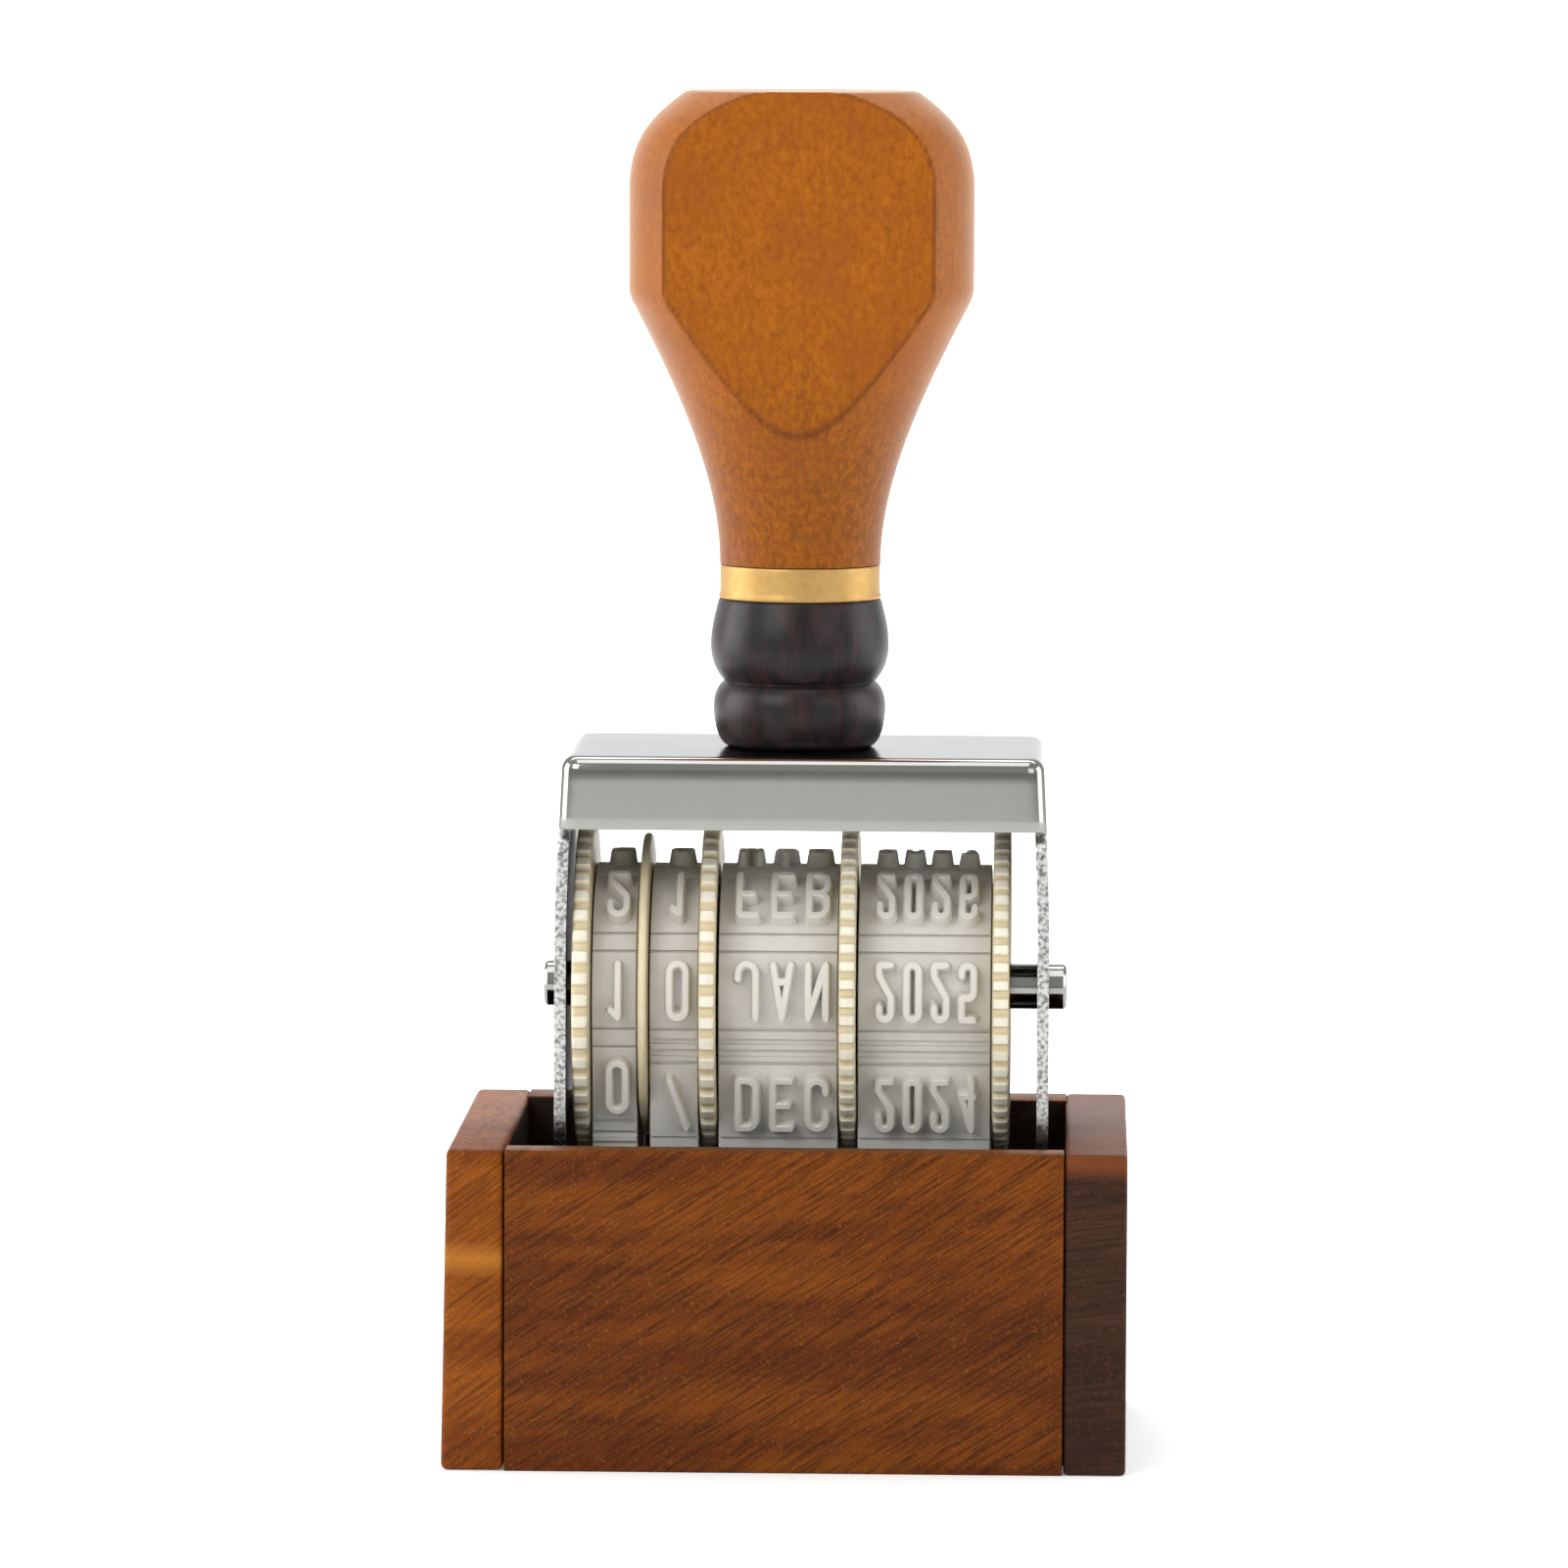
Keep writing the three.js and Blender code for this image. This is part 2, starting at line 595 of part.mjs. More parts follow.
const handle = new THREE.Group();
handle.position.x = HANDLE_SHIFT;
handle.add(collarPart(), ferrulePart(), gripPart(), screwPart(), washerPart());
stamp.add(handle);

const part = new THREE.Group();
part.add(holder, stamp);

export default part;
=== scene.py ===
"""Looks for a rotary date stamp in a wooden holder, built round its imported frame.

Lengths in the script's own tables are millimetres; meshes are metres, in the row frame.
"""

import math

import bmesh
import bpy
import numpy as np
from mathutils import Matrix, Vector


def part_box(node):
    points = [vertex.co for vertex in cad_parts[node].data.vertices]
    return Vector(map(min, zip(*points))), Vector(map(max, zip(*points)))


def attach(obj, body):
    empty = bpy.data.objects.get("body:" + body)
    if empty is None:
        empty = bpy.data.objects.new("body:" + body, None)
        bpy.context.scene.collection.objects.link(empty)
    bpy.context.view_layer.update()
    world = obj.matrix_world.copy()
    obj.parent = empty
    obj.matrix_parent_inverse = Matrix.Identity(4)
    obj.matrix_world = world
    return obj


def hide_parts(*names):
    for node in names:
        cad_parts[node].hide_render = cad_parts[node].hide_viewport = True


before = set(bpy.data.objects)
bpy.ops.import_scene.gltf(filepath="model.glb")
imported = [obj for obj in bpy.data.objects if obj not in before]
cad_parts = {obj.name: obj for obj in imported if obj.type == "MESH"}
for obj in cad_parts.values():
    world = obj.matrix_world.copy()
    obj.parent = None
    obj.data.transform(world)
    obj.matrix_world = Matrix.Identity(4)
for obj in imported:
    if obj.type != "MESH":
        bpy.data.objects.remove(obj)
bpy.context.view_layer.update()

MM = 0.001

# ---------------------------------------------------------------- sizes from the frame


def box_mm(name):
    """A CAD node's lowest and highest corners, in millimetres."""
    low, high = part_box(name)
    return low / MM, high / MM


SPINDLE_LOW, SPINDLE_HIGH = box_mm("spindle")
AXIS_X = (SPINDLE_LOW.x + SPINDLE_HIGH.x) / 2
AXIS_Y = (SPINDLE_LOW.y + SPINDLE_HIGH.y) / 2
AXIS_Z = (SPINDLE_LOW.z + SPINDLE_HIGH.z) / 2
FRAME_LOW, FRAME_HIGH = box_mm("sheet_frame")
GRIP_LOW, GRIP_HIGH = box_mm("grip")
FERRULE_LOW, FERRULE_HIGH = box_mm("ferrule")
COLLAR_LOW, COLLAR_HIGH = box_mm("collar")
WHEEL_RADIUS = (box_mm("year_wheel")[1].z - box_mm("year_wheel")[0].z) / 2

WHEEL_THICKNESS = 1.4
TOOTH_DEPTH = 0.4
TOOTH_SHARE = 0.56
DAY_TEETH = 47
WIDE_TEETH = 57

# Type bands, outwards from the course of the base
BASE_THICKNESS = 1.2
TYPE_RISE = 1.2
STRIP_RISE = 0.28
ROWS = 12
WIDE_STEP_EXTRA = 1.4
RIB = 1.27
GROOVE = 0.25
PRINT_HALF_DEPTH = 5.0
PRINT_EDGE_RADIUS = 2.2
PRINT_Z = box_mm("year_band")[0].z
BAND_RADIUS = box_mm("year_band")[1].z - AXIS_Z - TYPE_RISE

# Raised characters
STROKE_BASE = 0.48
STROKE_TOP = 0.27
STROKE_EDGE = 0.08
STROKE_SUNK = 0.2
CHARACTER_HEIGHT = 5.0

# Sheet frame
SHEET = 0.95
BEND_RADIUS = 1.1
LIP_DROP = 5.9
CAP_TAPER = 0.5
BOW_LENGTH = 9.5
SHOULDER_BELOW_SPINDLE = 13.3
SHOULDER_RADIUS = 4.0
NECK_HALF_DEPTH = 5.0
NECK_FILLET = 2.5
FOOT_RADIUS = 1.5

# Handle
GRIP_ACROSS_FLATS = GRIP_HIGH.y - GRIP_LOW.y
GRIP_RADIUS = (GRIP_HIGH.x - GRIP_LOW.x) / 2
GRIP_NECK_RADIUS = 6.58
GRIP_TOP_RADIUS = 9.4
FLAT_EDGE = 0.14
EDGE_LINE_REACH = 0.13
SCREW_RADIUS = 1.9
SCREW_HOLE = 1.95
THREAD_PITCH = 1.1
RIDGE = 0.3

# ---------------------------------------------------------------- small tools

# Sockets of a colour Mix node, whose names repeat
FACTOR, FIRST, SECOND = 0, 6, 7


def linear(code, alpha=1.0):
    """An sRGB hex colour as linear RGBA."""
    parts = [int(code[i:i + 2], 16) / 255 for i in (1, 3, 5)]
    return (*(p / 12.92 if p <= 0.04045 else ((p + 0.055) / 1.055) ** 2.4 for p in parts), alpha)


def add(tree, kind, inputs=None, **settings):
    """One node with its settings; each input is a value, an output, or a node for its live output."""
    made = tree.nodes.new(kind)
    for name, value in settings.items():
        setattr(made, name, value)
    for name, value in (inputs or {}).items():
        if isinstance(value, bpy.types.Node):
            value = next(socket for socket in value.outputs if socket.enabled)
        if isinstance(value, bpy.types.NodeSocket):
            tree.links.new(value, made.inputs[name])
        else:
            made.inputs[name].default_value = value
    return made


def new_material(name, **sockets):
    """A Principled material, its tree, its shader and a place in millimetres on the piece."""
    made = bpy.data.materials.new(name)
    made.use_nodes = True
    tree = made.node_tree
    tree.nodes.clear()
    shader = add(tree, "ShaderNodeBsdfPrincipled", sockets)
    add(tree, "ShaderNodeOutputMaterial", {"Surface": shader.outputs["BSDF"]})
    metres = add(tree, "ShaderNodeTexCoord").outputs["Object"]
    place = add(tree, "ShaderNodeMapping", {"Vector": metres, "Scale": (1 / MM,) * 3})
    return made, tree, shader, place


def surfaced(tree, shader, colour, rough, relief, strength, depth):
    """Gives a shader its colour and roughness, each a constant or a node, and a fine relief."""
    for socket, value in (("Base Color", colour), ("Roughness", rough)):
        if isinstance(value, bpy.types.Node):
            tree.links.new(next(out for out in value.outputs if out.enabled), shader.inputs[socket])
        else:
            shader.inputs[socket].default_value = value
    bump = add(tree, "ShaderNodeBump", {"Height": relief, "Strength": strength, "Distance": depth * MM})
    tree.links.new(bump.outputs["Normal"], shader.inputs["Normal"])


def new_object(name, mesh, material=None):
    """Links a mesh into the scene under a name."""
    made = bpy.data.objects.new(name, mesh)
    bpy.context.scene.collection.objects.link(made)
    if material:
        mesh.materials.append(material)
    return made


def baked(piece):
    """Applies a piece's modifiers to its mesh."""
    graph = bpy.context.evaluated_depsgraph_get()
    mesh = bpy.data.meshes.new_from_object(piece.evaluated_get(graph))
    if piece.type == "MESH":
        piece.modifiers.clear()
        piece.data = mesh
        return piece
    made = new_object(piece.name, mesh)
    bpy.data.objects.remove(piece)
    made.name = mesh.name = made.name.split(".")[0]
    return made


def smooth(piece, angle=35):
    """Smooth shading, but for edges sharper than an angle."""
    piece.data.shade_smooth()
    piece.data.set_sharp_from_angle(angle=math.radians(angle))
    return piece


def finish_piece(piece, body, slot, *nodes):
    """A piece moves with a body and stands for CAD nodes; its slot is not used."""
    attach(piece, body)
    if nodes:
        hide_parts(*nodes)
    return piece


def eased(piece, width, segments, angle=None):
    """Bevels a piece's edges, or only those sharper than an angle."""
    bevel = piece.modifiers.new("eased_edges", "BEVEL")
    bevel.width = width * MM
    bevel.segments = segments
    if angle:
        bevel.limit_method = "ANGLE"
        bevel.angle_limit = math.radians(angle)
    return bevel


def bezier(p0, p1, p2, p3, steps):
    """Points along a cubic curve, without its first."""
    t = np.linspace(0, 1, steps + 1)[1:, None]
    p0, p1, p2, p3 = map(np.array, (p0, p1, p2, p3))
    return (1 - t) ** 3 * p0 + 3 * (1 - t) ** 2 * t * p1 + 3 * (1 - t) * t ** 2 * p2 + t ** 3 * p3


# A box's faces, its corners counted with z fastest and x slowest
BOX_FACES = [(0, 1, 3, 2), (4, 6, 7, 5), (0, 4, 5, 1), (2, 3, 7, 6), (0, 2, 6, 4), (1, 5, 7, 3)]


def grid_faces(rows, columns, closed):
    """Quads between rows of a grid of vertices; closed joins the last column to the first."""
    span = columns if closed else columns - 1
    faces = []
    for low in range(0, (rows - 1) * columns, columns):
        for c in range(span):
            ahead = (c + 1) % columns
            faces.append((low + c, low + ahead, low + columns + ahead, low + columns + c))
    return faces


def cleaned(mesh):
    """Welds doubles and turns every face outwards."""
    form = bmesh.new()
    form.from_mesh(mesh)
    bmesh.ops.remove_doubles(form, verts=form.verts, dist=1e-7)
    bmesh.ops.dissolve_degenerate(form, edges=form.edges, dist=1e-8)
    bmesh.ops.recalc_face_normals(form, faces=form.faces)
    form.to_mesh(mesh)
    form.free()
    return mesh


def mesh_of(name, points, faces):
    """A mesh from points in millimetres."""
    mesh = bpy.data.meshes.new(name)
    mesh.from_pydata([Vector(p) * MM for p in points], [], faces)
    return cleaned(mesh)


def turned(name, profile, centre, axis="Z", parts=128):
    """A closed profile of (radius, height) turned round an axis through a centre."""
    profile = np.array(profile, float)
    turn = np.linspace(0, 2 * math.pi, parts, endpoint=False)
    radius, height = profile[:, 0:1], np.repeat(profile[:, 1:2], parts, axis=1)
    across, aside = radius * np.cos(turn), radius * np.sin(turn)
    order = {"Z": (across, aside, height), "X": (height, across, aside)}[axis]
    points = np.stack(order, axis=-1).reshape(-1, 3) + np.array(centre)
    return mesh_of(name, points, grid_faces(len(profile), parts, True))


# ---------------------------------------------------------------- materials


def lacquered_maple():
    """Maple, turned, stained orange-brown and lacquered: fine mottling and faint upright lines."""
    made, tree, shader, place = new_material("lacquered_maple", **{
        "Coat Weight": 0.06, "Coat Roughness": 0.3, "Specular IOR Level": 0.12,
        "Sheen Weight": 0.35, "Sheen Roughness": 0.35, "Sheen Tint": linear("#fff6dc"),
    })
    flecks = add(tree, "ShaderNodeMapping", {"Vector": place, "Scale": (1, 1, 0.7)})
    fine = add(tree, "ShaderNodeTexNoise", {"Vector": flecks, "Scale": 2.0, "Detail": 6, "Roughness": 0.78})
    broad = add(tree, "ShaderNodeTexNoise", {"Vector": place, "Scale": 0.13, "Detail": 6, "Roughness": 0.62})
    grain = add(tree, "ShaderNodeMapping", {"Vector": place, "Scale": (1, 1, 0.06)})
    lines = add(tree, "ShaderNodeTexNoise", {"Vector": grain, "Scale": 1.5, "Detail": 3, "Roughness": 0.5})
    fleck = add(tree, "ShaderNodeMapRange", {
        "Value": fine, "From Min": 0.33, "From Max": 0.67,
    })
    base = add(tree, "ShaderNodeMix", {
        FACTOR: fleck, FIRST: linear("#834303"), SECOND: linear("#a75f09"),
    }, data_type="RGBA")
    shade = add(tree, "ShaderNodeMapRange", {
        "Value": broad, "From Min": 0.42, "From Max": 0.68, "To Min": 0.0, "To Max": 0.55,
    })
    warm = add(tree, "ShaderNodeMix", {
        FACTOR: shade, FIRST: base, SECOND: linear("#854410"),
    }, data_type="RGBA")
    dark = add(tree, "ShaderNodeMapRange", {
        "Value": lines, "From Min": 0.55, "From Max": 0.75, "To Min": 0.0, "To Max": 0.22,
    })
    colour = add(tree, "ShaderNodeMix", {
        FACTOR: dark, FIRST: warm, SECOND: linear("#6b3608"),
    }, data_type="RGBA")
    height = add(tree, "ShaderNodeSeparateXYZ", {"Vector": place}).outputs["Z"]
    # Painted shade: the grip is darker towards its bottom, below a wavy line at about 86 to 97 mm where the
    # taper faces downward, broken up by the flecks.
    painted_shade_height = add(tree, "ShaderNodeMath", {0: broad, 1: 14.0, 2: height}, operation="MULTIPLY_ADD")
    painted_low_shade = add(tree, "ShaderNodeMapRange", {
        "Value": painted_shade_height, "From Min": 86, "From Max": 97, "To Min": 0.5, "To Max": 0.0,
    })
    specks = add(tree, "ShaderNodeMapRange", {
        "Value": fine, "From Min": 0.42, "From Max": 0.6, "To Min": 1.0, "To Max": 0.35,
    })
    painted_shade_flecked = add(tree, "ShaderNodeMath", {0: painted_low_shade, 1: specks}, operation="MULTIPLY")
    finished = add(tree, "ShaderNodeMix", {
        FACTOR: painted_shade_flecked, FIRST: colour, SECOND: linear("#5f3008"),
    }, data_type="RGBA")
    # flat_edge paints a darker line along the flats' edges.
    edge = add(tree, "ShaderNodeAttribute", attribute_name="flat_edge").outputs["Fac"]
    lined = add(tree, "ShaderNodeMix", {
        FACTOR: edge, FIRST: finished, SECOND: linear("#4a2008"),
    }, data_type="RGBA")
    rough = add(tree, "ShaderNodeMapRange", {"Value": fleck, "To Min": 0.42, "To Max": 0.5})
    surfaced(tree, shader, lined, rough, fleck, 0.12, 0.02)
    return made


def ebonised_beech():
    """Beech, turned and stained near black, then polished: a soft broad gloss, a trace of red grain."""
    made, tree, shader, place = new_material("ebonised_beech", **{
        "Coat Weight": 0.1, "Coat Roughness": 0.3, "Specular IOR Level": 0.25,
    })
    grain = add(tree, "ShaderNodeMapping", {"Vector": place, "Scale": (1, 1, 0.25)})
    noise = add(tree, "ShaderNodeTexNoise", {"Vector": grain, "Scale": 1.1, "Detail": 4, "Roughness": 0.6})
    red = add(tree, "ShaderNodeMapRange", {
        "Value": noise, "From Min": 0.45, "From Max": 0.75,
    })
    colour = add(tree, "ShaderNodeMix", {
        FACTOR: red, FIRST: linear("#120c0e"), SECOND: linear("#341a1a"),
    }, data_type="RGBA")
    surfaced(tree, shader, colour, 0.38, noise, 0.15, 0.03)
    return made


def stained_hardwood(name, dark, middle, light, slant, offset, patch_height, patch):
    """Red-brown open-grained hardwood, sawn across its grain and oiled: thin slanting dark streaks,
    faint level bands and pale pores. One end board is darker wood; each has a paler patch."""
    made, tree, shader, place = new_material(name, **{"Specular IOR Level": 0.1})
    turn = add(tree, "ShaderNodeMapping", {
        "Vector": place, "Location": offset, "Rotation": (0, math.radians(slant), 0),
    })
    long = add(tree, "ShaderNodeMapping", {"Vector": turn, "Scale": (0.045, 0.3, 1.0)})
    streaks = add(tree, "ShaderNodeTexNoise", {"Vector": long, "Scale": 2.6, "Detail": 7, "Roughness": 0.74})
    level = add(tree, "ShaderNodeMapping", {"Vector": place, "Location": offset, "Scale": (0.12, 0.3, 1)})
    bands = add(tree, "ShaderNodeTexNoise", {"Vector": level, "Scale": 0.28, "Detail": 3})
    spots = add(tree, "ShaderNodeTexNoise", {"Vector": turn, "Scale": 3.4, "Detail": 3, "Roughness": 0.75})
    body = add(tree, "ShaderNodeMapRange", {
        "Value": bands, "From Min": 0.4, "From Max": 0.6,
    })
    base = add(tree, "ShaderNodeMix", {
        FACTOR: body, FIRST: linear(middle), SECOND: linear(light),
    }, data_type="RGBA")
    thin = add(tree, "ShaderNodeMapRange", {
        "Value": streaks, "From Min": 0.5, "From Max": 0.6, "To Max": 0.72,
    })
    hair = add(tree, "ShaderNodeTexNoise", {"Vector": long, "Scale": 5.5, "Detail": 4, "Roughness": 0.6})
    fine = add(tree, "ShaderNodeMapRange", {
        "Value": hair, "From Min": 0.48, "From Max": 0.62, "To Max": 0.6,
    })
    both = add(tree, "ShaderNodeMath", {0: thin, 1: fine}, operation="MAXIMUM")
    streaked = add(tree, "ShaderNodeMix", {
        FACTOR: both, FIRST: base, SECOND: linear(dark),
    }, data_type="RGBA")
    pale = add(tree, "ShaderNodeMapRange", {
        "Value": spots, "From Min": 0.57, "From Max": 0.75, "To Max": 0.45,
    })
    spotted = add(tree, "ShaderNodeMix", {
        FACTOR: pale, FIRST: streaked, SECOND: linear(patch),
    }, data_type="RGBA")
    height = add(tree, "ShaderNodeSeparateXYZ", {"Vector": place}).outputs["Z"]
    away = add(tree, "ShaderNodeMath", {0: height, 1: patch_height}, operation="SUBTRACT")
    gap = add(tree, "ShaderNodeMath", {0: away}, operation="ABSOLUTE")
    wavy = add(tree, "ShaderNodeMath", {0: bands, 1: 2.5, 2: gap}, operation="MULTIPLY_ADD")
    near = add(tree, "ShaderNodeMapRange", {
        "Value": wavy, "From Min": 1.3, "From Max": 2.9, "To Min": 0.7, "To Max": 0.0,
    })
    colour = add(tree, "ShaderNodeMix", {
        FACTOR: near, FIRST: spotted, SECOND: linear(patch),
    }, data_type="RGBA")
    rough = add(tree, "ShaderNodeMapRange", {"Value": streaks, "To Min": 0.42, "To Max": 0.6})
    surfaced(tree, shader, colour, rough, streaks, 0.25, 0.05)
    return made


def turned_brass():
    """Brass tube, turned and left satin: fine rings round it that spread the highlight sideways."""
    made, tree, shader, place = new_material("turned_brass", Metallic=1.0)
    rings = add(tree, "ShaderNodeMapping", {"Vector": place, "Scale": (0.05, 0.05, 1)})
    noise = add(tree, "ShaderNodeTexNoise", {"Vector": rings, "Scale": 9, "Detail": 3})
    cloud = add(tree, "ShaderNodeTexNoise", {"Vector": place, "Scale": 1.6, "Detail": 5, "Roughness": 0.7})
    tint = add(tree, "ShaderNodeMix", {
        FACTOR: cloud, FIRST: linear("#a8844a"), SECOND: linear("#c8a56a"),
    }, data_type="RGBA")
    rough = add(tree, "ShaderNodeMapRange", {"Value": noise, "To Min": 0.42, "To Max": 0.58})
    surfaced(tree, shader, tint, rough, noise, 0.3, 0.02)
    return made


def chromed_steel(name, roughness, ripple, size, dull="#9c9d98", bright="#9c9d98"):
    """Steel sheet, pressed and chrome plated: a cool mirror, slightly rippled; cut edges are rougher."""
    made, tree, shader, place = new_material(name, Metallic=1.0)
    shader.inputs["Specular Tint"].default_value = linear("#9e9e9e")
    noise = add(tree, "ShaderNodeTexNoise", {"Vector": place, "Scale": 1 / size, "Detail": 2})
    tint = linear(bright)
    if dull != bright:
        pits = add(tree, "ShaderNodeMapRange", {"Value": noise, "From Min": 0.36, "From Max": 0.58})
        tint = add(tree, "ShaderNodeMix", {
            FACTOR: pits, FIRST: linear(dull), SECOND: linear(bright),
        }, data_type="RGBA")
    rough = add(tree, "ShaderNodeMapRange", {
        "Value": noise, "To Min": roughness * 0.8, "To Max": roughness * 1.3,
    })
    surfaced(tree, shader, tint, rough, noise, 0.5, ripple)
    return made


def grey_rubber():
    """Vulcanised rubber, moulded: matt warm grey; the raised type's tops are paler, partly rubbed clean and
    partly painted highlight where they catch the light.
    """
    made, tree, shader, place = new_material("grey_rubber", **{
        "Sheen Weight": 0.1, "Specular IOR Level": 0.35,
    })
    rise = add(tree, "ShaderNodeAttribute", attribute_name="rise").outputs["Fac"]
    grime = add(tree, "ShaderNodeTexNoise", {"Vector": place, "Scale": 0.7, "Detail": 4})
    low = add(tree, "ShaderNodeMix", {
        FACTOR: grime, FIRST: linear("#c6c3bc"), SECOND: linear("#d4d2cb"),
    }, data_type="RGBA")
    # Partly wear, partly painted highlight: the type's tops take a paler grey by how high they rise.
    top = add(tree, "ShaderNodeMapRange", {"Value": rise, "From Min": 0.15, "From Max": 1.0})
    colour = add(tree, "ShaderNodeMix", {
        FACTOR: top, FIRST: low, SECOND: linear("#d0cdc4"),
    }, data_type="RGBA")
    fine = add(tree, "ShaderNodeTexNoise", {"Vector": place, "Scale": 6, "Detail": 2})
    surfaced(tree, shader, colour, 0.62, fine, 0.2, 0.02)
    return made


def moulded_abs(name, clean, stained, rim_radius):
    """ABS, moulded: satin ivory with cloudy soiling on the rim's tops; below them, in the tooth hollows and
    over the sides, a flat darker yellow, painted shade in the hollows.
    """
    made, tree, shader, place = new_material(name, **{
        "Subsurface Weight": 0.08, "Subsurface Scale": 0.5 * MM,
    })
    centred = add(tree, "ShaderNodeMapping", {
        "Vector": place, "Location": (0, -AXIS_Y, -AXIS_Z), "Scale": (0, 1, 1),
    })
    reach = add(tree, "ShaderNodeVectorMath", {0: centred}, operation="LENGTH")
    # Painted shade: everything below the rim's tops takes the darker colour flat, so the hollows between the
    # teeth read as shaded.
    top = add(tree, "ShaderNodeMapRange", {
        "Value": reach, "From Min": rim_radius - 0.3, "From Max": rim_radius - 0.1,
    })
    cloud = add(tree, "ShaderNodeTexNoise", {"Vector": place, "Scale": 0.9, "Detail": 4})
    soil = add(tree, "ShaderNodeMapRange", {
        "Value": cloud, "From Min": 0.45, "From Max": 0.8, "To Max": 0.5,
    })
    face = add(tree, "ShaderNodeMix", {
        FACTOR: soil, FIRST: linear(clean), SECOND: linear(stained),
    }, data_type="RGBA")
    colour = add(tree, "ShaderNodeMix", {
        FACTOR: top, FIRST: linear(stained), SECOND: face,
    }, data_type="RGBA")
    surfaced(tree, shader, colour, 0.42, cloud, 0.15, 0.03)
    return made


def plain_steel():
    """Bright mild steel, drawn and unplated: dull grey metal with fine lengthwise scratches."""
    made, tree, shader, place = new_material("plain_steel", Metallic=1.0)
    drawn = add(tree, "ShaderNodeMapping", {"Vector": place, "Scale": (0.1, 1, 1)})
    noise = add(tree, "ShaderNodeTexNoise", {"Vector": drawn, "Scale": 4, "Detail": 3})
    rough = add(tree, "ShaderNodeMapRange", {"Value": noise, "To Min": 0.45, "To Max": 0.6})
    surfaced(tree, shader, linear("#c6c0bb"), rough, noise, 0.3, 0.02)
    return made


MAPLE = lacquered_maple()
BEECH = ebonised_beech()
BRASS = turned_brass()
CHROME = chromed_steel("chromed_steel", 0.12, 0.02, 6)
CHROME_EDGE = chromed_steel("sheared_chromed_edge", 0.35, 0.08, 0.35, "#7c7c7a", "#d4d4d2")
RUBBER = grey_rubber()
IVORY = moulded_abs("ivory_abs", "#dfdac9", "#cbbd99", WHEEL_RADIUS)
CREAM = moulded_abs("cream_abs", "#d6c9a8", "#c2b088", WHEEL_RADIUS - 1.1)
STEEL = plain_steel()
NO_PATCH = -50  # a height below the floor
BOARD = stained_hardwood(
    "stained_sapele", "#2a1104", "#5c2b06", "#743c0a", 33, (0, 0, 0), NO_PATCH, "#a86322")
LEFT_BOARD = stained_hardwood(
    "stained_sapele_pale", "#45200a", "#723808", "#88480f", 38, (7, 0, 11), 17.2, "#b5722a")
# Near-black wood, painted shade for the faces inside the box and in the seams between boards.
PAINTED_SHADE_WOOD = stained_hardwood(
    "painted_shade_wood", "#0d0805", "#1a0f08", "#24150a", 4, (21, 0, 9), NO_PATCH, "#3a2210")
RIGHT_BOARD = stained_hardwood(
    "dark_heartwood", "#20140e", "#311e14", "#40281b", 8, (40, 0, 3), 25.4, "#7a4120")

# ---------------------------------------------------------------- camera, floor and light

CAMERA_PLACE = (22.69, -789.65, 124.2)
CAMERA_TURN = 1.7
CAMERA_DOWN = 5.09
CAMERA_ROLL = 0.27
CAMERA_LENS = 222.0


def place_camera():
    """A long lens, a little above the stamp and a little to its right."""
    turn, down = math.radians(CAMERA_TURN), math.radians(CAMERA_DOWN)
    ahead = Vector((-math.sin(turn) * math.cos(down), math.cos(turn) * math.cos(down), -math.sin(down)))
    data = bpy.data.cameras.new("camera")
    data.lens = CAMERA_LENS
    data.clip_end = 20
    camera = bpy.data.objects.new("camera", data)
    bpy.context.scene.collection.objects.link(camera)
    roll = Matrix.Rotation(math.radians(CAMERA_ROLL), 4, "Z")
    facing = ahead.to_track_quat("-Z", "Y").to_matrix().to_4x4()
    camera.matrix_world = Matrix.Translation(Vector(CAMERA_PLACE) * MM) @ facing @ roll
    bpy.context.scene.camera = camera


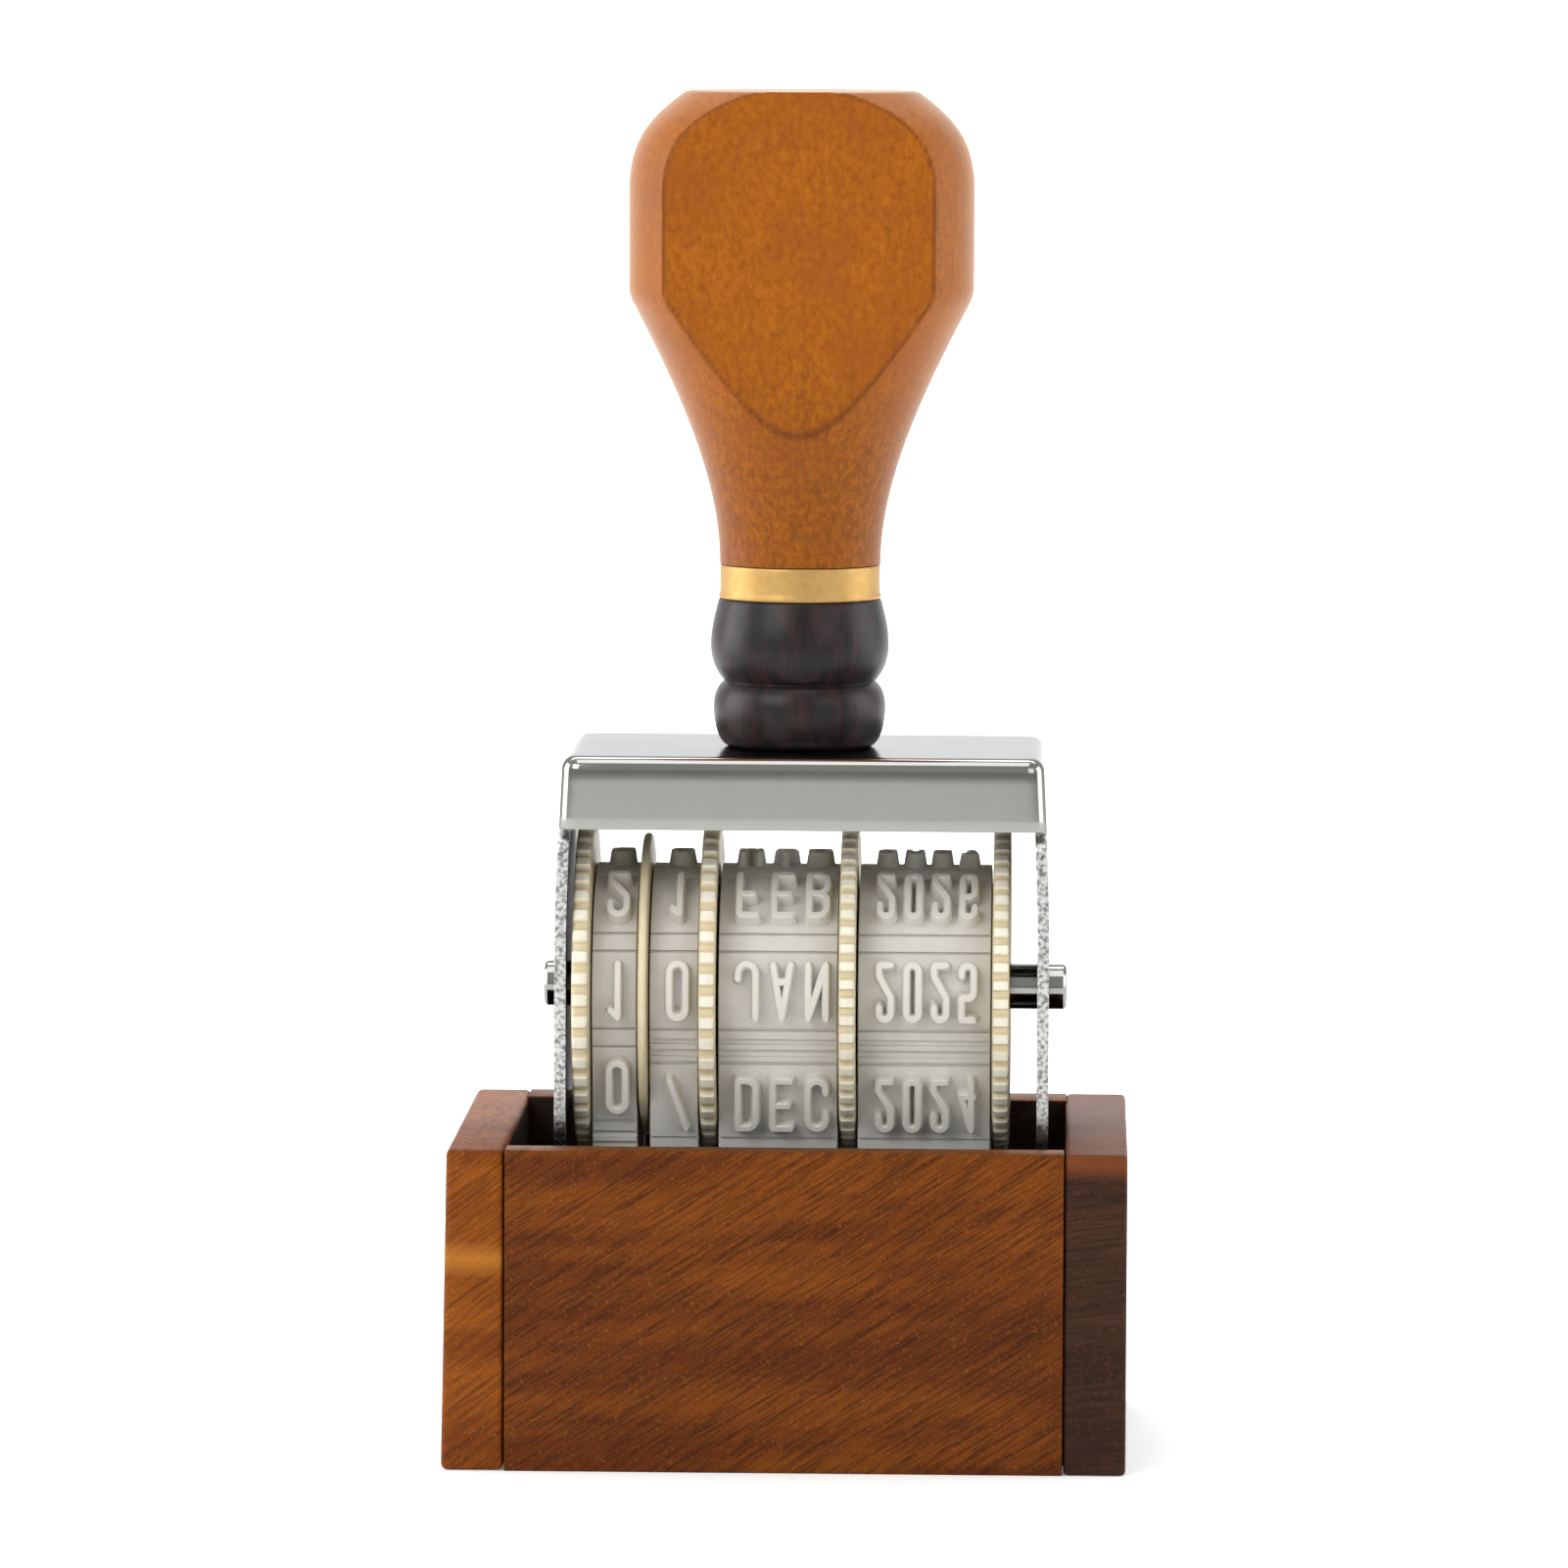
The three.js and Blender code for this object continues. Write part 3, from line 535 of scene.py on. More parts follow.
def studio():
    """A white floor that curves up into a backdrop, under soft light from all round."""
    made = bpy.data.materials.new("white_paper")
    made.use_nodes = True
    paper = made.node_tree.nodes["Principled BSDF"].inputs
    paper["Base Color"].default_value = linear("#f6f6f6")
    paper["Roughness"].default_value = 0.9
    paper["Emission Color"].default_value = linear("#ffffff")
    paper["Emission Strength"].default_value = 0.14
    reach, wide, curve, top = 700, 1500, 500, 1500
    profile = [(-1500, 0), (reach, 0)]
    for step in range(1, 17):
        angle = math.pi / 2 * step / 16
        profile.append((reach + curve * math.sin(angle), curve - curve * math.cos(angle)))
    profile.append((reach + curve, top))
    points = [(x, y, z - 0.02) for y, z in profile for x in (-wide, wide)]
    faces = grid_faces(len(profile), 2, False)
    sweep = new_object("paper_sweep", mesh_of("paper_sweep", points, faces), made)
    sweep.data.shade_smooth()

    world = bpy.data.worlds.new("studio")
    bpy.context.scene.world = world
    world.use_nodes = True
    tree = world.node_tree
    tree.nodes.clear()
    direction = add(tree, "ShaderNodeTexCoord").outputs["Generated"]
    parts = add(tree, "ShaderNodeSeparateXYZ", {"Vector": direction})
    rear = add(tree, "ShaderNodeMapRange", {
        "Value": parts.outputs["Y"], "From Min": -0.7, "From Max": 0.15,
    })
    above = add(tree, "ShaderNodeMapRange", {
        "Value": parts.outputs["Z"], "From Min": -0.12, "From Max": 0.2, "To Max": 0.8,
    })
    open_sky = add(tree, "ShaderNodeMath", {0: rear, 1: above}, operation="MAXIMUM")
    beside = add(tree, "ShaderNodeMapRange", {
        "Value": parts.outputs["X"], "From Min": -1.0, "From Max": 1.0, "To Min": 1.0, "To Max": 0.72,
    })
    level = add(tree, "ShaderNodeMath", {0: open_sky, 1: beside}, operation="MULTIPLY")
    colour = add(tree, "ShaderNodeMix", {
        FACTOR: level, FIRST: linear("#949494"), SECOND: linear("#ffffff"),
    }, data_type="RGBA")
    back = add(tree, "ShaderNodeBackground", {"Color": colour, "Strength": 0.7})
    add(tree, "ShaderNodeOutputWorld", {"Surface": back.outputs["Background"]})

    for name, place, size, power in (
        ("key", (-380, -560, 430), 420, 2.3),
        ("fill", (460, -580, 330), 420, 0.9),
        ("backdrop_light", (0, 420, 700), 700, 8.5),
        ("left_wall", (-650, 60, 200), 450, 2.6),
        ("right_wall", (650, 60, 200), 450, 1.7),
        ("overhead", (0, -120, 620), 380, 0.9),
    ):
        data = bpy.data.lights.new(name, "AREA")
        data.size = size * MM
        data.energy = power
        lamp = bpy.data.objects.new(name, data)
        bpy.context.scene.collection.objects.link(lamp)
        lamp.location = Vector(place) * MM
        aim = Vector((0, 0, 60)) if name != "backdrop_light" else Vector((0, 900, 200))
        lamp.rotation_euler = (aim * MM - lamp.location).to_track_quat("-Z", "Y").to_euler()


place_camera()
studio()
bpy.context.scene.view_settings.view_transform = "Standard"

# ---------------------------------------------------------------- holder


def board(name, material, slot, low_inset, high_inset, ease, inward=(0, 0, 0), lean=0.0):
    """A board in its CAD node's place, drawn in a little at its seams, with eased edges.

    The faces inside the box and in its seams take near-black wood, painted shade; lean draws the top of the
    left side in."""
    low, high = box_mm(name)
    low, high = low + Vector(low_inset), high - Vector(high_inset)
    corners = [(x, y, z) for x in (low.x, high.x) for y in (low.y, high.y) for z in (low.z, high.z)]
    corners = [(x + lean * (x == low.x and z == high.z), y, z) for x, y, z in corners]
    piece = new_object(name + "_board", mesh_of(name + "_board", corners, BOX_FACES), material)
    piece.data.materials.append(PAINTED_SHADE_WOOD)
    # Painted shade: faces inside the box and in the seams take the near-black wood.
    for face in piece.data.polygons:
        hidden = face.normal.dot(Vector(inward)) > 0.9 or (inward[0] == 0 and abs(face.normal.x) > 0.9)
        face.material_index = 1 if hidden else 0
    eased(piece, ease, 3).material = 0
    baked(piece)
    smooth(piece, 40)
    return finish_piece(piece, "holder", slot, name)


SEAM = 0.1
board("holder_front_panel", BOARD, "holder_wood", (SEAM, 0, 0), (SEAM, 0, 0), 0.12, (0, 1, 0))
board("holder_back_panel", BOARD, "holder_wood", (-0.05, 0, 0), (-0.05, 0, 0), 0.12, (0, -1, 0))
board("holder_floor", BOARD, "holder_wood", (-0.05, -0.05, 0.3), (-0.05, -0.05, 0), 0.1, (0, 0, 1))
board("holder_left_end", LEFT_BOARD, "holder_wood", (0, 0.05, 0), (0, 0, 0), 0.5, (1, 0, 0), 0.4)
board("holder_right_end", RIGHT_BOARD, "holder_dark_wood", (0, 0.05, 0), (0, 0, 0), 0.4, (-1, 0, 0))

# ---------------------------------------------------------------- sheet frame


def curve_through(points, steps=8):
    """A path of points where every middle one of three rounds a corner, as a list."""
    path = [points[0]]
    for start, corner, end in zip(points[:-2:2], points[1::2], points[2::2]):
        for t in np.linspace(0, 1, steps + 1)[1:]:
            path.append(tuple((1 - t) ** 2 * a + 2 * (1 - t) * t * b + t ** 2 * c
                              for a, b, c in zip(start, corner, end)))
    return path


def frame_side(z):
    """Half the frame's outer width at a height: legs that bow out below the cap."""
    lip, leg = FRAME_HIGH.z - LIP_DROP, (FRAME_HIGH.x - FRAME_LOW.x) / 2
    start, end = lip - BOW_LENGTH, FRAME_HIGH.z - BEND_RADIUS
    if z <= start:
        return leg
    # the height runs as a quadratic through a control point half the bow above its start
    a, b, c = start - 2 * (start + BOW_LENGTH / 2) + end, BOW_LENGTH, start - z
    t = (-b + math.sqrt(b * b - 4 * a * c)) / (2 * a)
    return leg - CAP_TAPER * t * t


def sheet_frame():
    """Cap, lips and legs as one thin sheet, folded from the outside in."""
    top, lip, foot = FRAME_HIGH.z, FRAME_HIGH.z - LIP_DROP, FRAME_LOW.z
    deep = (FRAME_HIGH.y - FRAME_LOW.y) / 2
    corner, columns, arc = 1.5, 17, 6
    points, faces = [], []

    def ring(z, inset):
        """One level of the cap: right side, corner, back, corner, left side, corner, front, corner."""
        half_x, half_y = frame_side(min(z, top - BEND_RADIUS)) - inset, deep - inset
        r = max(corner - inset, 0.15)
        level = []
        spots = [(1, 1), (-1, 1), (-1, -1), (1, -1)]
        side = np.linspace(-1, 1, columns)
        for k, (sx, sy) in enumerate(spots):
            begin = k * math.pi / 2
            if k == 0:
                level += [(half_x, y * (half_y - r)) for y in side]
            elif k == 2:
                level += [(-half_x, -y * (half_y - r)) for y in side]
            else:
                level += [(-y * (half_x - r) * sy, sy * half_y) for y in side]
            for step in range(1, arc):
                angle = begin + math.pi / 2 * step / arc
                centre_x, centre_y = sx * (half_x - r), sy * (half_y - r)
                level.append((centre_x + r * math.cos(angle), centre_y + r * math.sin(angle)))
        return [(AXIS_X + x, AXIS_Y + y, z) for x, y in level]

    levels = [(z, 0.0) for z in np.linspace(lip, top - BEND_RADIUS, 6)]
    for step in range(1, 9):
        angle = math.pi / 2 * step / 8
        height = top - BEND_RADIUS + BEND_RADIUS * math.sin(angle)
        levels.append((height, BEND_RADIUS * (1 - math.cos(angle))))
    levels.append((top, BEND_RADIUS + 0.4))
    for z, inset in levels:
        points += ring(z, inset)
    around = 4 * (columns + arc - 1)
    faces += grid_faces(len(levels), around, True)
    faces.append([(len(levels) - 1) * around + i for i in range(around)])

    shoulder = AXIS_Z - SHOULDER_BELOW_SPINDLE
    flat = deep - corner
    outline = [(flat, lip), (flat, lip - 0.5), (flat + 0.75, lip - 0.75), (deep, lip - 1), (deep, lip - 2)]
    outline = curve_through(outline, 5)
    outline += [(deep, z) for z in np.linspace(lip - 3, lip - BOW_LENGTH, 7)]
    lower = [(deep, shoulder + SHOULDER_RADIUS), (deep, shoulder), (deep - SHOULDER_RADIUS, shoulder - 0.02)]
    outline += curve_through(lower, 10)
    neck = [
        (NECK_HALF_DEPTH + NECK_FILLET, shoulder - 0.06),
        (NECK_HALF_DEPTH, shoulder - 0.06),
        (NECK_HALF_DEPTH, shoulder - NECK_FILLET),
    ]
    outline += curve_through(neck, 8)
    heel = [
        (NECK_HALF_DEPTH, foot + FOOT_RADIUS),
        (NECK_HALF_DEPTH, foot),
        (NECK_HALF_DEPTH - FOOT_RADIUS, foot),
    ]
    outline += curve_through(heel, 6)
    for sign, first in ((1, 0), (-1, 2 * (columns + arc - 1))):
        last = [first + i for i in range(columns)]
        for half, z in outline[1:]:
            row = [len(points) + i for i in range(columns)]
            for t in np.linspace(-1, 1, columns):
                points.append((AXIS_X + sign * frame_side(z), AXIS_Y + sign * t * half, z))
            faces += [(last[i], row[i], row[i + 1], last[i + 1]) for i in range(columns - 1)]
            last = row

    piece = new_object("folded_frame", mesh_of("folded_frame", points, faces), CHROME)
    piece.data.materials.append(CHROME_EDGE)
    top_face = max(piece.data.polygons, key=lambda face: face.center.z)
    if top_face.normal.z < 0:
        piece.data.flip_normals()
    thick = piece.modifiers.new("sheet", "SOLIDIFY")
    thick.thickness = SHEET * MM
    thick.offset = -1
    thick.use_even_offset = True
    thick.material_offset_rim = 1
    eased(piece, 0.14, 2, 50)
    baked(piece)
    smooth(piece, 50)
    return finish_piece(piece, "stamp", "chromed_sheet", "sheet_frame")


sheet_frame()

# ---------------------------------------------------------------- shafts, pins and platen


def lathed(name, profile, centre, axis, material, body, slot, node, parts=96, angle=35):
    """A turned piece that stands for one CAD node."""
    piece = new_object(name, turned(name, profile, centre, axis, parts), material)
    smooth(piece, angle)
    return finish_piece(piece, body, slot, node)


def along(low, high, radius, ease):
    """Half a rod's outline, closed at the axis, with eased ends."""
    shoulder = radius - ease * 0.6
    return [
        (0.001, low), (radius - 2 * ease, low), (shoulder, low + ease * 0.25), (radius, low + ease),
        (radius, high - ease), (shoulder, high - ease * 0.25), (radius - 2 * ease, high), (0.001, high),
    ]


AXIS = (AXIS_X, AXIS_Y, AXIS_Z)
SPINDLE_HALF = (SPINDLE_HIGH.x - SPINDLE_LOW.x) / 2
SPINDLE_RADIUS = (SPINDLE_HIGH.z - SPINDLE_LOW.z) / 2
lathed("spindle_rod", along(-SPINDLE_HALF, SPINDLE_HALF, SPINDLE_RADIUS, 0.3), AXIS, "X",
       CHROME, "stamp", "chromed_sheet", "spindle")

disc_low, disc_high = box_mm("separator_disc")
DISC_RADIUS = (disc_high.z - disc_low.z) / 2
HALF_DISC = (disc_high.x - disc_low.x) / 2
DISC_CENTRE = ((disc_low.x + disc_high.x) / 2, AXIS_Y, AXIS_Z)
BORE = SPINDLE_RADIUS + 0.05
disc_profile = [(BORE, -HALF_DISC), (DISC_RADIUS - 1.2, -HALF_DISC), (DISC_RADIUS - 0.4, -HALF_DISC + 0.04)]
for step in range(9):
    swing = math.pi * step / 8 - math.pi / 2
    disc_profile.append((DISC_RADIUS - 0.3 + 0.3 * math.cos(swing), (HALF_DISC - 0.05) * math.sin(swing)))
disc_profile += [(DISC_RADIUS - 0.4, HALF_DISC - 0.04), (DISC_RADIUS - 1.2, HALF_DISC), (BORE, HALF_DISC)]
disc_profile.append(disc_profile[0])
lathed("separator_plate", disc_profile, DISC_CENTRE, "X", CREAM,
       "stamp", "cream_plastic", "separator_disc", 160)

for side, node in ((-1, "platen_pin_left"), (1, "platen_pin_right")):
    low, high = box_mm(node)
    radius, seat = (high.z - low.z) / 2, (FRAME_HIGH.x - FRAME_LOW.x) / 2 + 0.03
    tip = min(abs(low.x - AXIS_X), abs(high.x - AXIS_X))
    end = max(abs(low.x - AXIS_X), abs(high.x - AXIS_X))
    head = [(radius * math.cos(a), seat + 0.12 + (end - seat - 0.12) * math.sin(a))
            for a in np.linspace(0, math.pi / 2 - 0.02, 9)]
    rivet = [(0.001, tip), (0.9, tip), (1.0, tip + 0.1), (1.0, seat)]
    rivet += [(radius - 0.05, seat), (radius, seat + 0.06)]
    rivet = [(r, side * h) for r, h in rivet + head + [(0.001, end)]]
    middle = (AXIS_X, AXIS_Y, (low.z + high.z) / 2)
    lathed(node + "_rivet", rivet, middle, "X", STEEL, "stamp", "plain_steel", node, 48)


def platen_bar():
    """The bar that the bands turn round: flat below, with rounded lower edges."""
    low, high = box_mm("platen")
    half, r = (high.y - low.y) / 2, 0.7
    under = [(-half, high.z), (-half, low.z + r), (-half, low.z), (-half + r, low.z)]
    outline = [under[0]] + curve_through(under[1:], 6)
    outline += [(-y, z) for y, z in reversed(outline)]
    count = len(outline)
    points = [(x, AXIS_Y + y, z) for x in (low.x, high.x) for y, z in outline]
    faces = [(i, (i + 1) % count, count + (i + 1) % count, count + i) for i in range(count)]
    faces += [list(range(count)), list(range(count, 2 * count))]
    piece = new_object("platen_bar", mesh_of("platen_bar", points, faces), STEEL)
    eased(piece, 0.15, 2, 40)
    baked(piece)
    smooth(piece, 40)
    finish_piece(piece, "stamp", "plain_steel", "platen")


platen_bar()

# ---------------------------------------------------------------- handle

HANDLE = ((COLLAR_LOW.x + COLLAR_HIGH.x) / 2, AXIS_Y, 0)


def collar():
    """Two turned beads with a groove between them."""
    low, high = COLLAR_LOW.z, COLLAR_HIGH.z
    wide = (COLLAR_HIGH.x - COLLAR_LOW.x) / 2

    def at(r, h):
        return (wide * r, low + (high - low) * h)

    path = [(SCREW_HOLE, low), at(0.78, 0)]
    path += [*bezier(at(0.78, 0), at(0.9, 0.01), at(0.965, 0.14), at(0.965, 0.27), 12)]
    path += [*bezier(at(0.965, 0.27), at(0.965, 0.37), at(0.9, 0.42), at(0.856, 0.44), 12)]
    path += [*bezier(at(0.856, 0.44), at(0.848, 0.444), at(0.848, 0.447), at(0.856, 0.451), 4)]
    path += [*bezier(at(0.856, 0.451), at(0.9, 0.48), at(1, 0.56), at(1, 0.69), 14)]
    path += [*bezier(at(1, 0.69), at(1, 0.82), at(0.94, 0.92), at(0.92, 0.985), 12)]
    path += [at(0.905, 1), (SCREW_HOLE, high), (SCREW_HOLE, low)]
    lathed("turned_collar", path, HANDLE, "Z", BEECH, "stamp", "collar_wood", "collar", 160)


def ferrule():
    """A brass ring with rolled edges, the lower one a little fuller."""
    low, high = FERRULE_LOW.z, FERRULE_HIGH.z
    wide = (FERRULE_HIGH.x - FERRULE_LOW.x) / 2
    path = [(wide - 0.8, low), (wide - 0.25, low), (wide - 0.08, low + 0.07), (wide, low + 0.22),
            (wide - 0.02, low + 0.4), (wide - 0.09, low + 0.55), (wide - 0.1, low + 0.8),
            (wide - 0.1, high - 0.5), (wide - 0.1, high - 0.22), (wide - 0.16, high - 0.07),
            (wide - 0.3, high), (wide - 0.8, high), (wide - 0.8, low)]
    lathed("brass_ring", path, HANDLE, "Z", BRASS, "stamp", "brass", "ferrule", 160, 50)


def softened(a, b, reach):
    """The smaller of two arrays, eased where they meet."""
    blend = np.clip(0.5 + 0.5 * (b - a) / reach, 0, 1)
    return b * (1 - blend) + a * blend - reach * blend * (1 - blend)


def grip():
    """The turned bulb with two flats, its edges softened by sanding."""
    low, high, tall = FERRULE_HIGH.z, GRIP_HIGH.z, GRIP_HIGH.z - FERRULE_HIGH.z
    neck = GRIP_NECK_RADIUS
    tenon = (FERRULE_HIGH.x - FERRULE_LOW.x) / 2 - 0.8 - 0.1

    def at(t, h):
        return (neck + (GRIP_RADIUS - neck) * t, low + tall * h)

    top = (GRIP_TOP_RADIUS, high)
    path = [at(0, 0)] + [*bezier(at(0, 0), at(0, 0.168), at(0.41, 0.35), at(0.955, 0.552), 56)]
    path += [*bezier(at(0.955, 0.552), at(0.985, 0.564), at(1, 0.577), at(1, 0.59), 8)]
    path += [(GRIP_RADIUS, z) for z in np.linspace(at(1, 0.59)[1], at(1, 0.79)[1], 14)[1:]]
    path += [*bezier(at(1, 0.79), at(1, 0.896), at(0.78, 0.943), top, 34)][:-1]
    path += [(GRIP_TOP_RADIUS + 0.12, high - 0.1), (GRIP_TOP_RADIUS - 0.25, high - 0.01)]
    radius = np.array([p[0] for p in path])
    height = np.array([p[1] for p in path])
    parts = 352
    turn = np.linspace(0, 2 * math.pi, parts, endpoint=False)
    flat = GRIP_ACROSS_FLATS / 2 / np.maximum(np.abs(np.sin(turn)), 1e-3)
    reach = softened(radius[:, None] * np.ones(parts), flat[None, :] * np.ones((len(path), 1)), FLAT_EDGE)
    ends = [(tenon, low - 2.6), (tenon, low), (neck - 0.2, low)]
    rows = [(np.full(parts, r), z) for r, z in ends] + [(reach[i], z) for i, z in enumerate(height)]
    inner = softened(np.full(parts, GRIP_TOP_RADIUS - 1.2), flat - 1.0, FLAT_EDGE)
    rows.append((inner, high))
    points = [(HANDLE[0] + r * math.cos(a), AXIS_Y + r * math.sin(a), z) for reach_row, z in rows
              for r, a in zip(reach_row, turn)]
    faces = grid_faces(len(rows), parts, True)
    faces += [list(range(parts)), [(len(rows) - 1) * parts + i for i in range(parts)]]
    piece = new_object("turned_grip", mesh_of("turned_grip", points, faces), MAPLE)
    # A darker line is painted along each flat's edge, kept as the point attribute flat_edge.
    apart = np.abs(radius[:, None] - flat[None, :])
    line = 0.6 * np.exp(-(apart / EDGE_LINE_REACH) ** 2)
    edge_line_marks = np.vstack([np.zeros((len(ends), parts)), line, np.zeros((1, parts))])
    mark = piece.data.attributes.new("flat_edge", "FLOAT", "POINT")
    mark.data.foreach_set("value", edge_line_marks.ravel().astype(np.float32))
    smooth(piece, 50)
    finish_piece(piece, "stamp", "grip_wood", "grip")


collar()
ferrule()
grip()

# ---------------------------------------------------------------- geometry trees


def new_tree(name, **inputs):
    """A geometry tree with a mesh input, named number inputs and a material."""
    tree = bpy.data.node_groups.new(name, "GeometryNodeTree")
    tree.interface.new_socket("Geometry", in_out="INPUT", socket_type="NodeSocketGeometry")
    for label, kind in inputs.items():
        tree.interface.new_socket(label, in_out="INPUT", socket_type="NodeSocket" + kind)
    tree.interface.new_socket("Material", in_out="INPUT", socket_type="NodeSocketMaterial")
    tree.interface.new_socket("Geometry", in_out="OUTPUT", socket_type="NodeSocketGeometry")
    return tree, tree.nodes.new("NodeGroupInput").outputs


def end_tree(tree, geometry, material):
    """Ends a tree in real geometry with its material."""
    real = add(tree, "GeometryNodeRealizeInstances", {"Geometry": geometry})
    painted = add(tree, "GeometryNodeSetMaterial", {"Geometry": real, "Material": material})
    output = tree.nodes.new("NodeGroupOutput")
    tree.links.new(painted.outputs[0], output.inputs[0])
    return tree


def grown(piece, tree, **values):
    """Runs a tree on a piece and keeps the result as its mesh."""
    modifier = piece.modifiers.new(tree.name, "NODES")
    modifier.node_group = tree
    for item in tree.interface.items_tree:
        if item.in_out == "INPUT" and item.name in values:
            modifier[item.identifier] = values[item.name]
    return baked(piece)


def strip_tree():
    """A rounded strip of rubber laid along every path in the mesh."""
    tree, given = new_tree("strip_along_course", Width="Float", Thickness="Float", Rounding="Float")
    paths = add(tree, "GeometryNodeMeshToCurve", {"Mesh": given["Geometry"]})
    upright = add(tree, "GeometryNodeSetCurveNormal", {"Curve": paths}, mode="Z_UP")
    section = add(tree, "GeometryNodeCurvePrimitiveQuadrilateral", {
        "Width": given["Thickness"], "Height": given["Width"],
    })
    profile = add(tree, "GeometryNodeFilletCurve", {
        "Curve": section, "Radius": given["Rounding"], "Count": 2,
    }, mode="POLY")
    swept = add(tree, "GeometryNodeCurveToMesh", {
        "Curve": upright, "Profile Curve": profile, "Fill Caps": True,
    })
    return end_tree(tree, swept, given["Material"])


def stroke_tree():
    """Raised strokes with sloping sides and round ends, run into one solid for each character."""
    tree, given = new_tree(
        "raised_strokes", Foot="Float", Crown="Float", Sunk="Float", Rise="Float", Ease="Float")
    paths = add(tree, "GeometryNodeMeshToCurve", {"Mesh": given["Geometry"]})
    upright = add(tree, "GeometryNodeSetCurveNormal", {"Curve": paths}, mode="Z_UP")
    low = add(tree, "ShaderNodeMath", {0: given["Sunk"], 1: -1.0}, operation="MULTIPLY")
    brink = add(tree, "ShaderNodeMath", {0: given["Rise"], 1: given["Ease"]}, operation="SUBTRACT")
    inner = add(tree, "ShaderNodeMath", {0: given["Crown"], 1: given["Ease"]}, operation="SUBTRACT")
    corners = [(given["Foot"], low), (given["Crown"], brink), (inner, given["Rise"])]
    points = []
    for sign, order in ((1.0, corners), (-1.0, corners[::-1])):
        for across, up in order:
            side = add(tree, "ShaderNodeMath", {0: across, 1: sign}, operation="MULTIPLY")
            down = add(tree, "ShaderNodeMath", {0: up, 1: -1.0}, operation="MULTIPLY")
            points.append(add(tree, "ShaderNodeCombineXYZ", {"X": side, "Y": down}))
    pieces = []
    for start, end in zip(points, points[1:] + points[:1]):
        pieces.append(add(tree, "GeometryNodeCurvePrimitiveLine", {"Start": start, "End": end}))
    joined = tree.nodes.new("GeometryNodeJoinGeometry")
    for line in reversed(pieces):
        tree.links.new(line.outputs[0], joined.inputs[0])
    flat = add(tree, "GeometryNodeCurveToMesh", {"Curve": joined})
    welded = add(tree, "GeometryNodeMergeByDistance", {"Geometry": flat, "Distance": 1e-7})
    section = add(tree, "GeometryNodeMeshToCurve", {"Mesh": welded})
    swept = add(tree, "GeometryNodeCurveToMesh", {
        "Curve": upright, "Profile Curve": section, "Fill Caps": True,
    })
    ends = add(tree, "GeometryNodeCurveEndpointSelection", {"Start Size": 1, "End Size": 1})
    depth = add(tree, "ShaderNodeMath", {0: given["Rise"], 1: given["Sunk"]}, operation="ADD")
    cone = add(tree, "GeometryNodeMeshCone", {
        "Vertices": 20, "Radius Top": inner, "Radius Bottom": given["Foot"], "Depth": depth,
    })
    sink = add(tree, "ShaderNodeCombineXYZ", {"Z": low})
    lowered = add(tree, "GeometryNodeTransform", {"Geometry": cone, "Translation": sink})
    caps = add(tree, "GeometryNodeInstanceOnPoints", {
        "Points": upright, "Selection": ends, "Instance": lowered,
    })
    real = add(tree, "GeometryNodeRealizeInstances", {"Geometry": caps})
    union = add(tree, "GeometryNodeMeshBoolean", operation="UNION", solver="EXACT")
    for solid in (real, swept):
        tree.links.new(solid.outputs[0], union.inputs["Mesh 2"])
    union.inputs["Self Intersection"].default_value = True
    return end_tree(tree, union.outputs["Mesh"], given["Material"])


def rim_tree():
    """Presses even teeth into a wheel's rim: flat lands with narrower hollows between them."""
    tree, given = new_tree(
        "rim_teeth", Centre="Vector", Rim="Float", Depth="Float", Teeth="Float", Land="Float")
    place = tree.nodes.new("GeometryNodeInputPosition")
    arm = add(tree, "ShaderNodeVectorMath", {0: place, 1: given["Centre"]}, operation="SUBTRACT")
    level = add(tree, "ShaderNodeVectorMath", {0: arm, 1: (0, 1, 1)}, operation="MULTIPLY")
    parts = add(tree, "ShaderNodeSeparateXYZ", {"Vector": level})
    reach = add(tree, "ShaderNodeVectorMath", {0: level}, operation="LENGTH")
    unit = add(tree, "ShaderNodeVectorMath", {0: level}, operation="NORMALIZE")
    angle = add(tree, "ShaderNodeMath", {0: parts.outputs["Z"], 1: parts.outputs["Y"]}, operation="ARCTAN2")
    turns = add(tree, "ShaderNodeMath", {0: angle, 1: 1 / (2 * math.pi)}, operation="MULTIPLY")
    count = add(tree, "ShaderNodeMath", {0: turns, 1: given["Teeth"]}, operation="MULTIPLY")
    phase = add(tree, "ShaderNodeMath", {0: count, 1: 1.0}, operation="FLOORED_MODULO")
    away = add(tree, "ShaderNodeMath", {0: phase, 1: -0.5}, operation="ADD")
    far = add(tree, "ShaderNodeMath", {0: away}, operation="ABSOLUTE")
    half = add(tree, "ShaderNodeMath", {0: given["Land"], 1: 0.5}, operation="MULTIPLY")
    start = add(tree, "ShaderNodeMath", {0: half, 1: -0.045}, operation="ADD")
    stop = add(tree, "ShaderNodeMath", {0: half, 1: 0.045}, operation="ADD")
    hollow = add(tree, "ShaderNodeMapRange", {"Value": far, "From Min": start, "From Max": stop})
    inside = add(tree, "ShaderNodeMath", {0: given["Rim"], 1: 0.75 * MM}, operation="SUBTRACT")
    outside = add(tree, "ShaderNodeMath", {0: given["Rim"], 1: 0.3 * MM}, operation="SUBTRACT")
    rim = add(tree, "ShaderNodeMapRange", {"Value": reach, "From Min": inside, "From Max": outside})
    share = add(tree, "ShaderNodeMath", {
        0: hollow, 1: rim,
    }, operation="MULTIPLY")
    sink = add(tree, "ShaderNodeMath", {0: share, 1: given["Depth"]}, operation="MULTIPLY")
    inward = add(tree, "ShaderNodeMath", {0: sink, 1: -1.0}, operation="MULTIPLY")
    move = add(tree, "ShaderNodeVectorMath", {0: unit, "Scale": inward}, operation="SCALE")
    pressed = add(tree, "GeometryNodeSetPosition", {"Geometry": given["Geometry"], "Offset": move})
    return end_tree(tree, pressed, given["Material"])


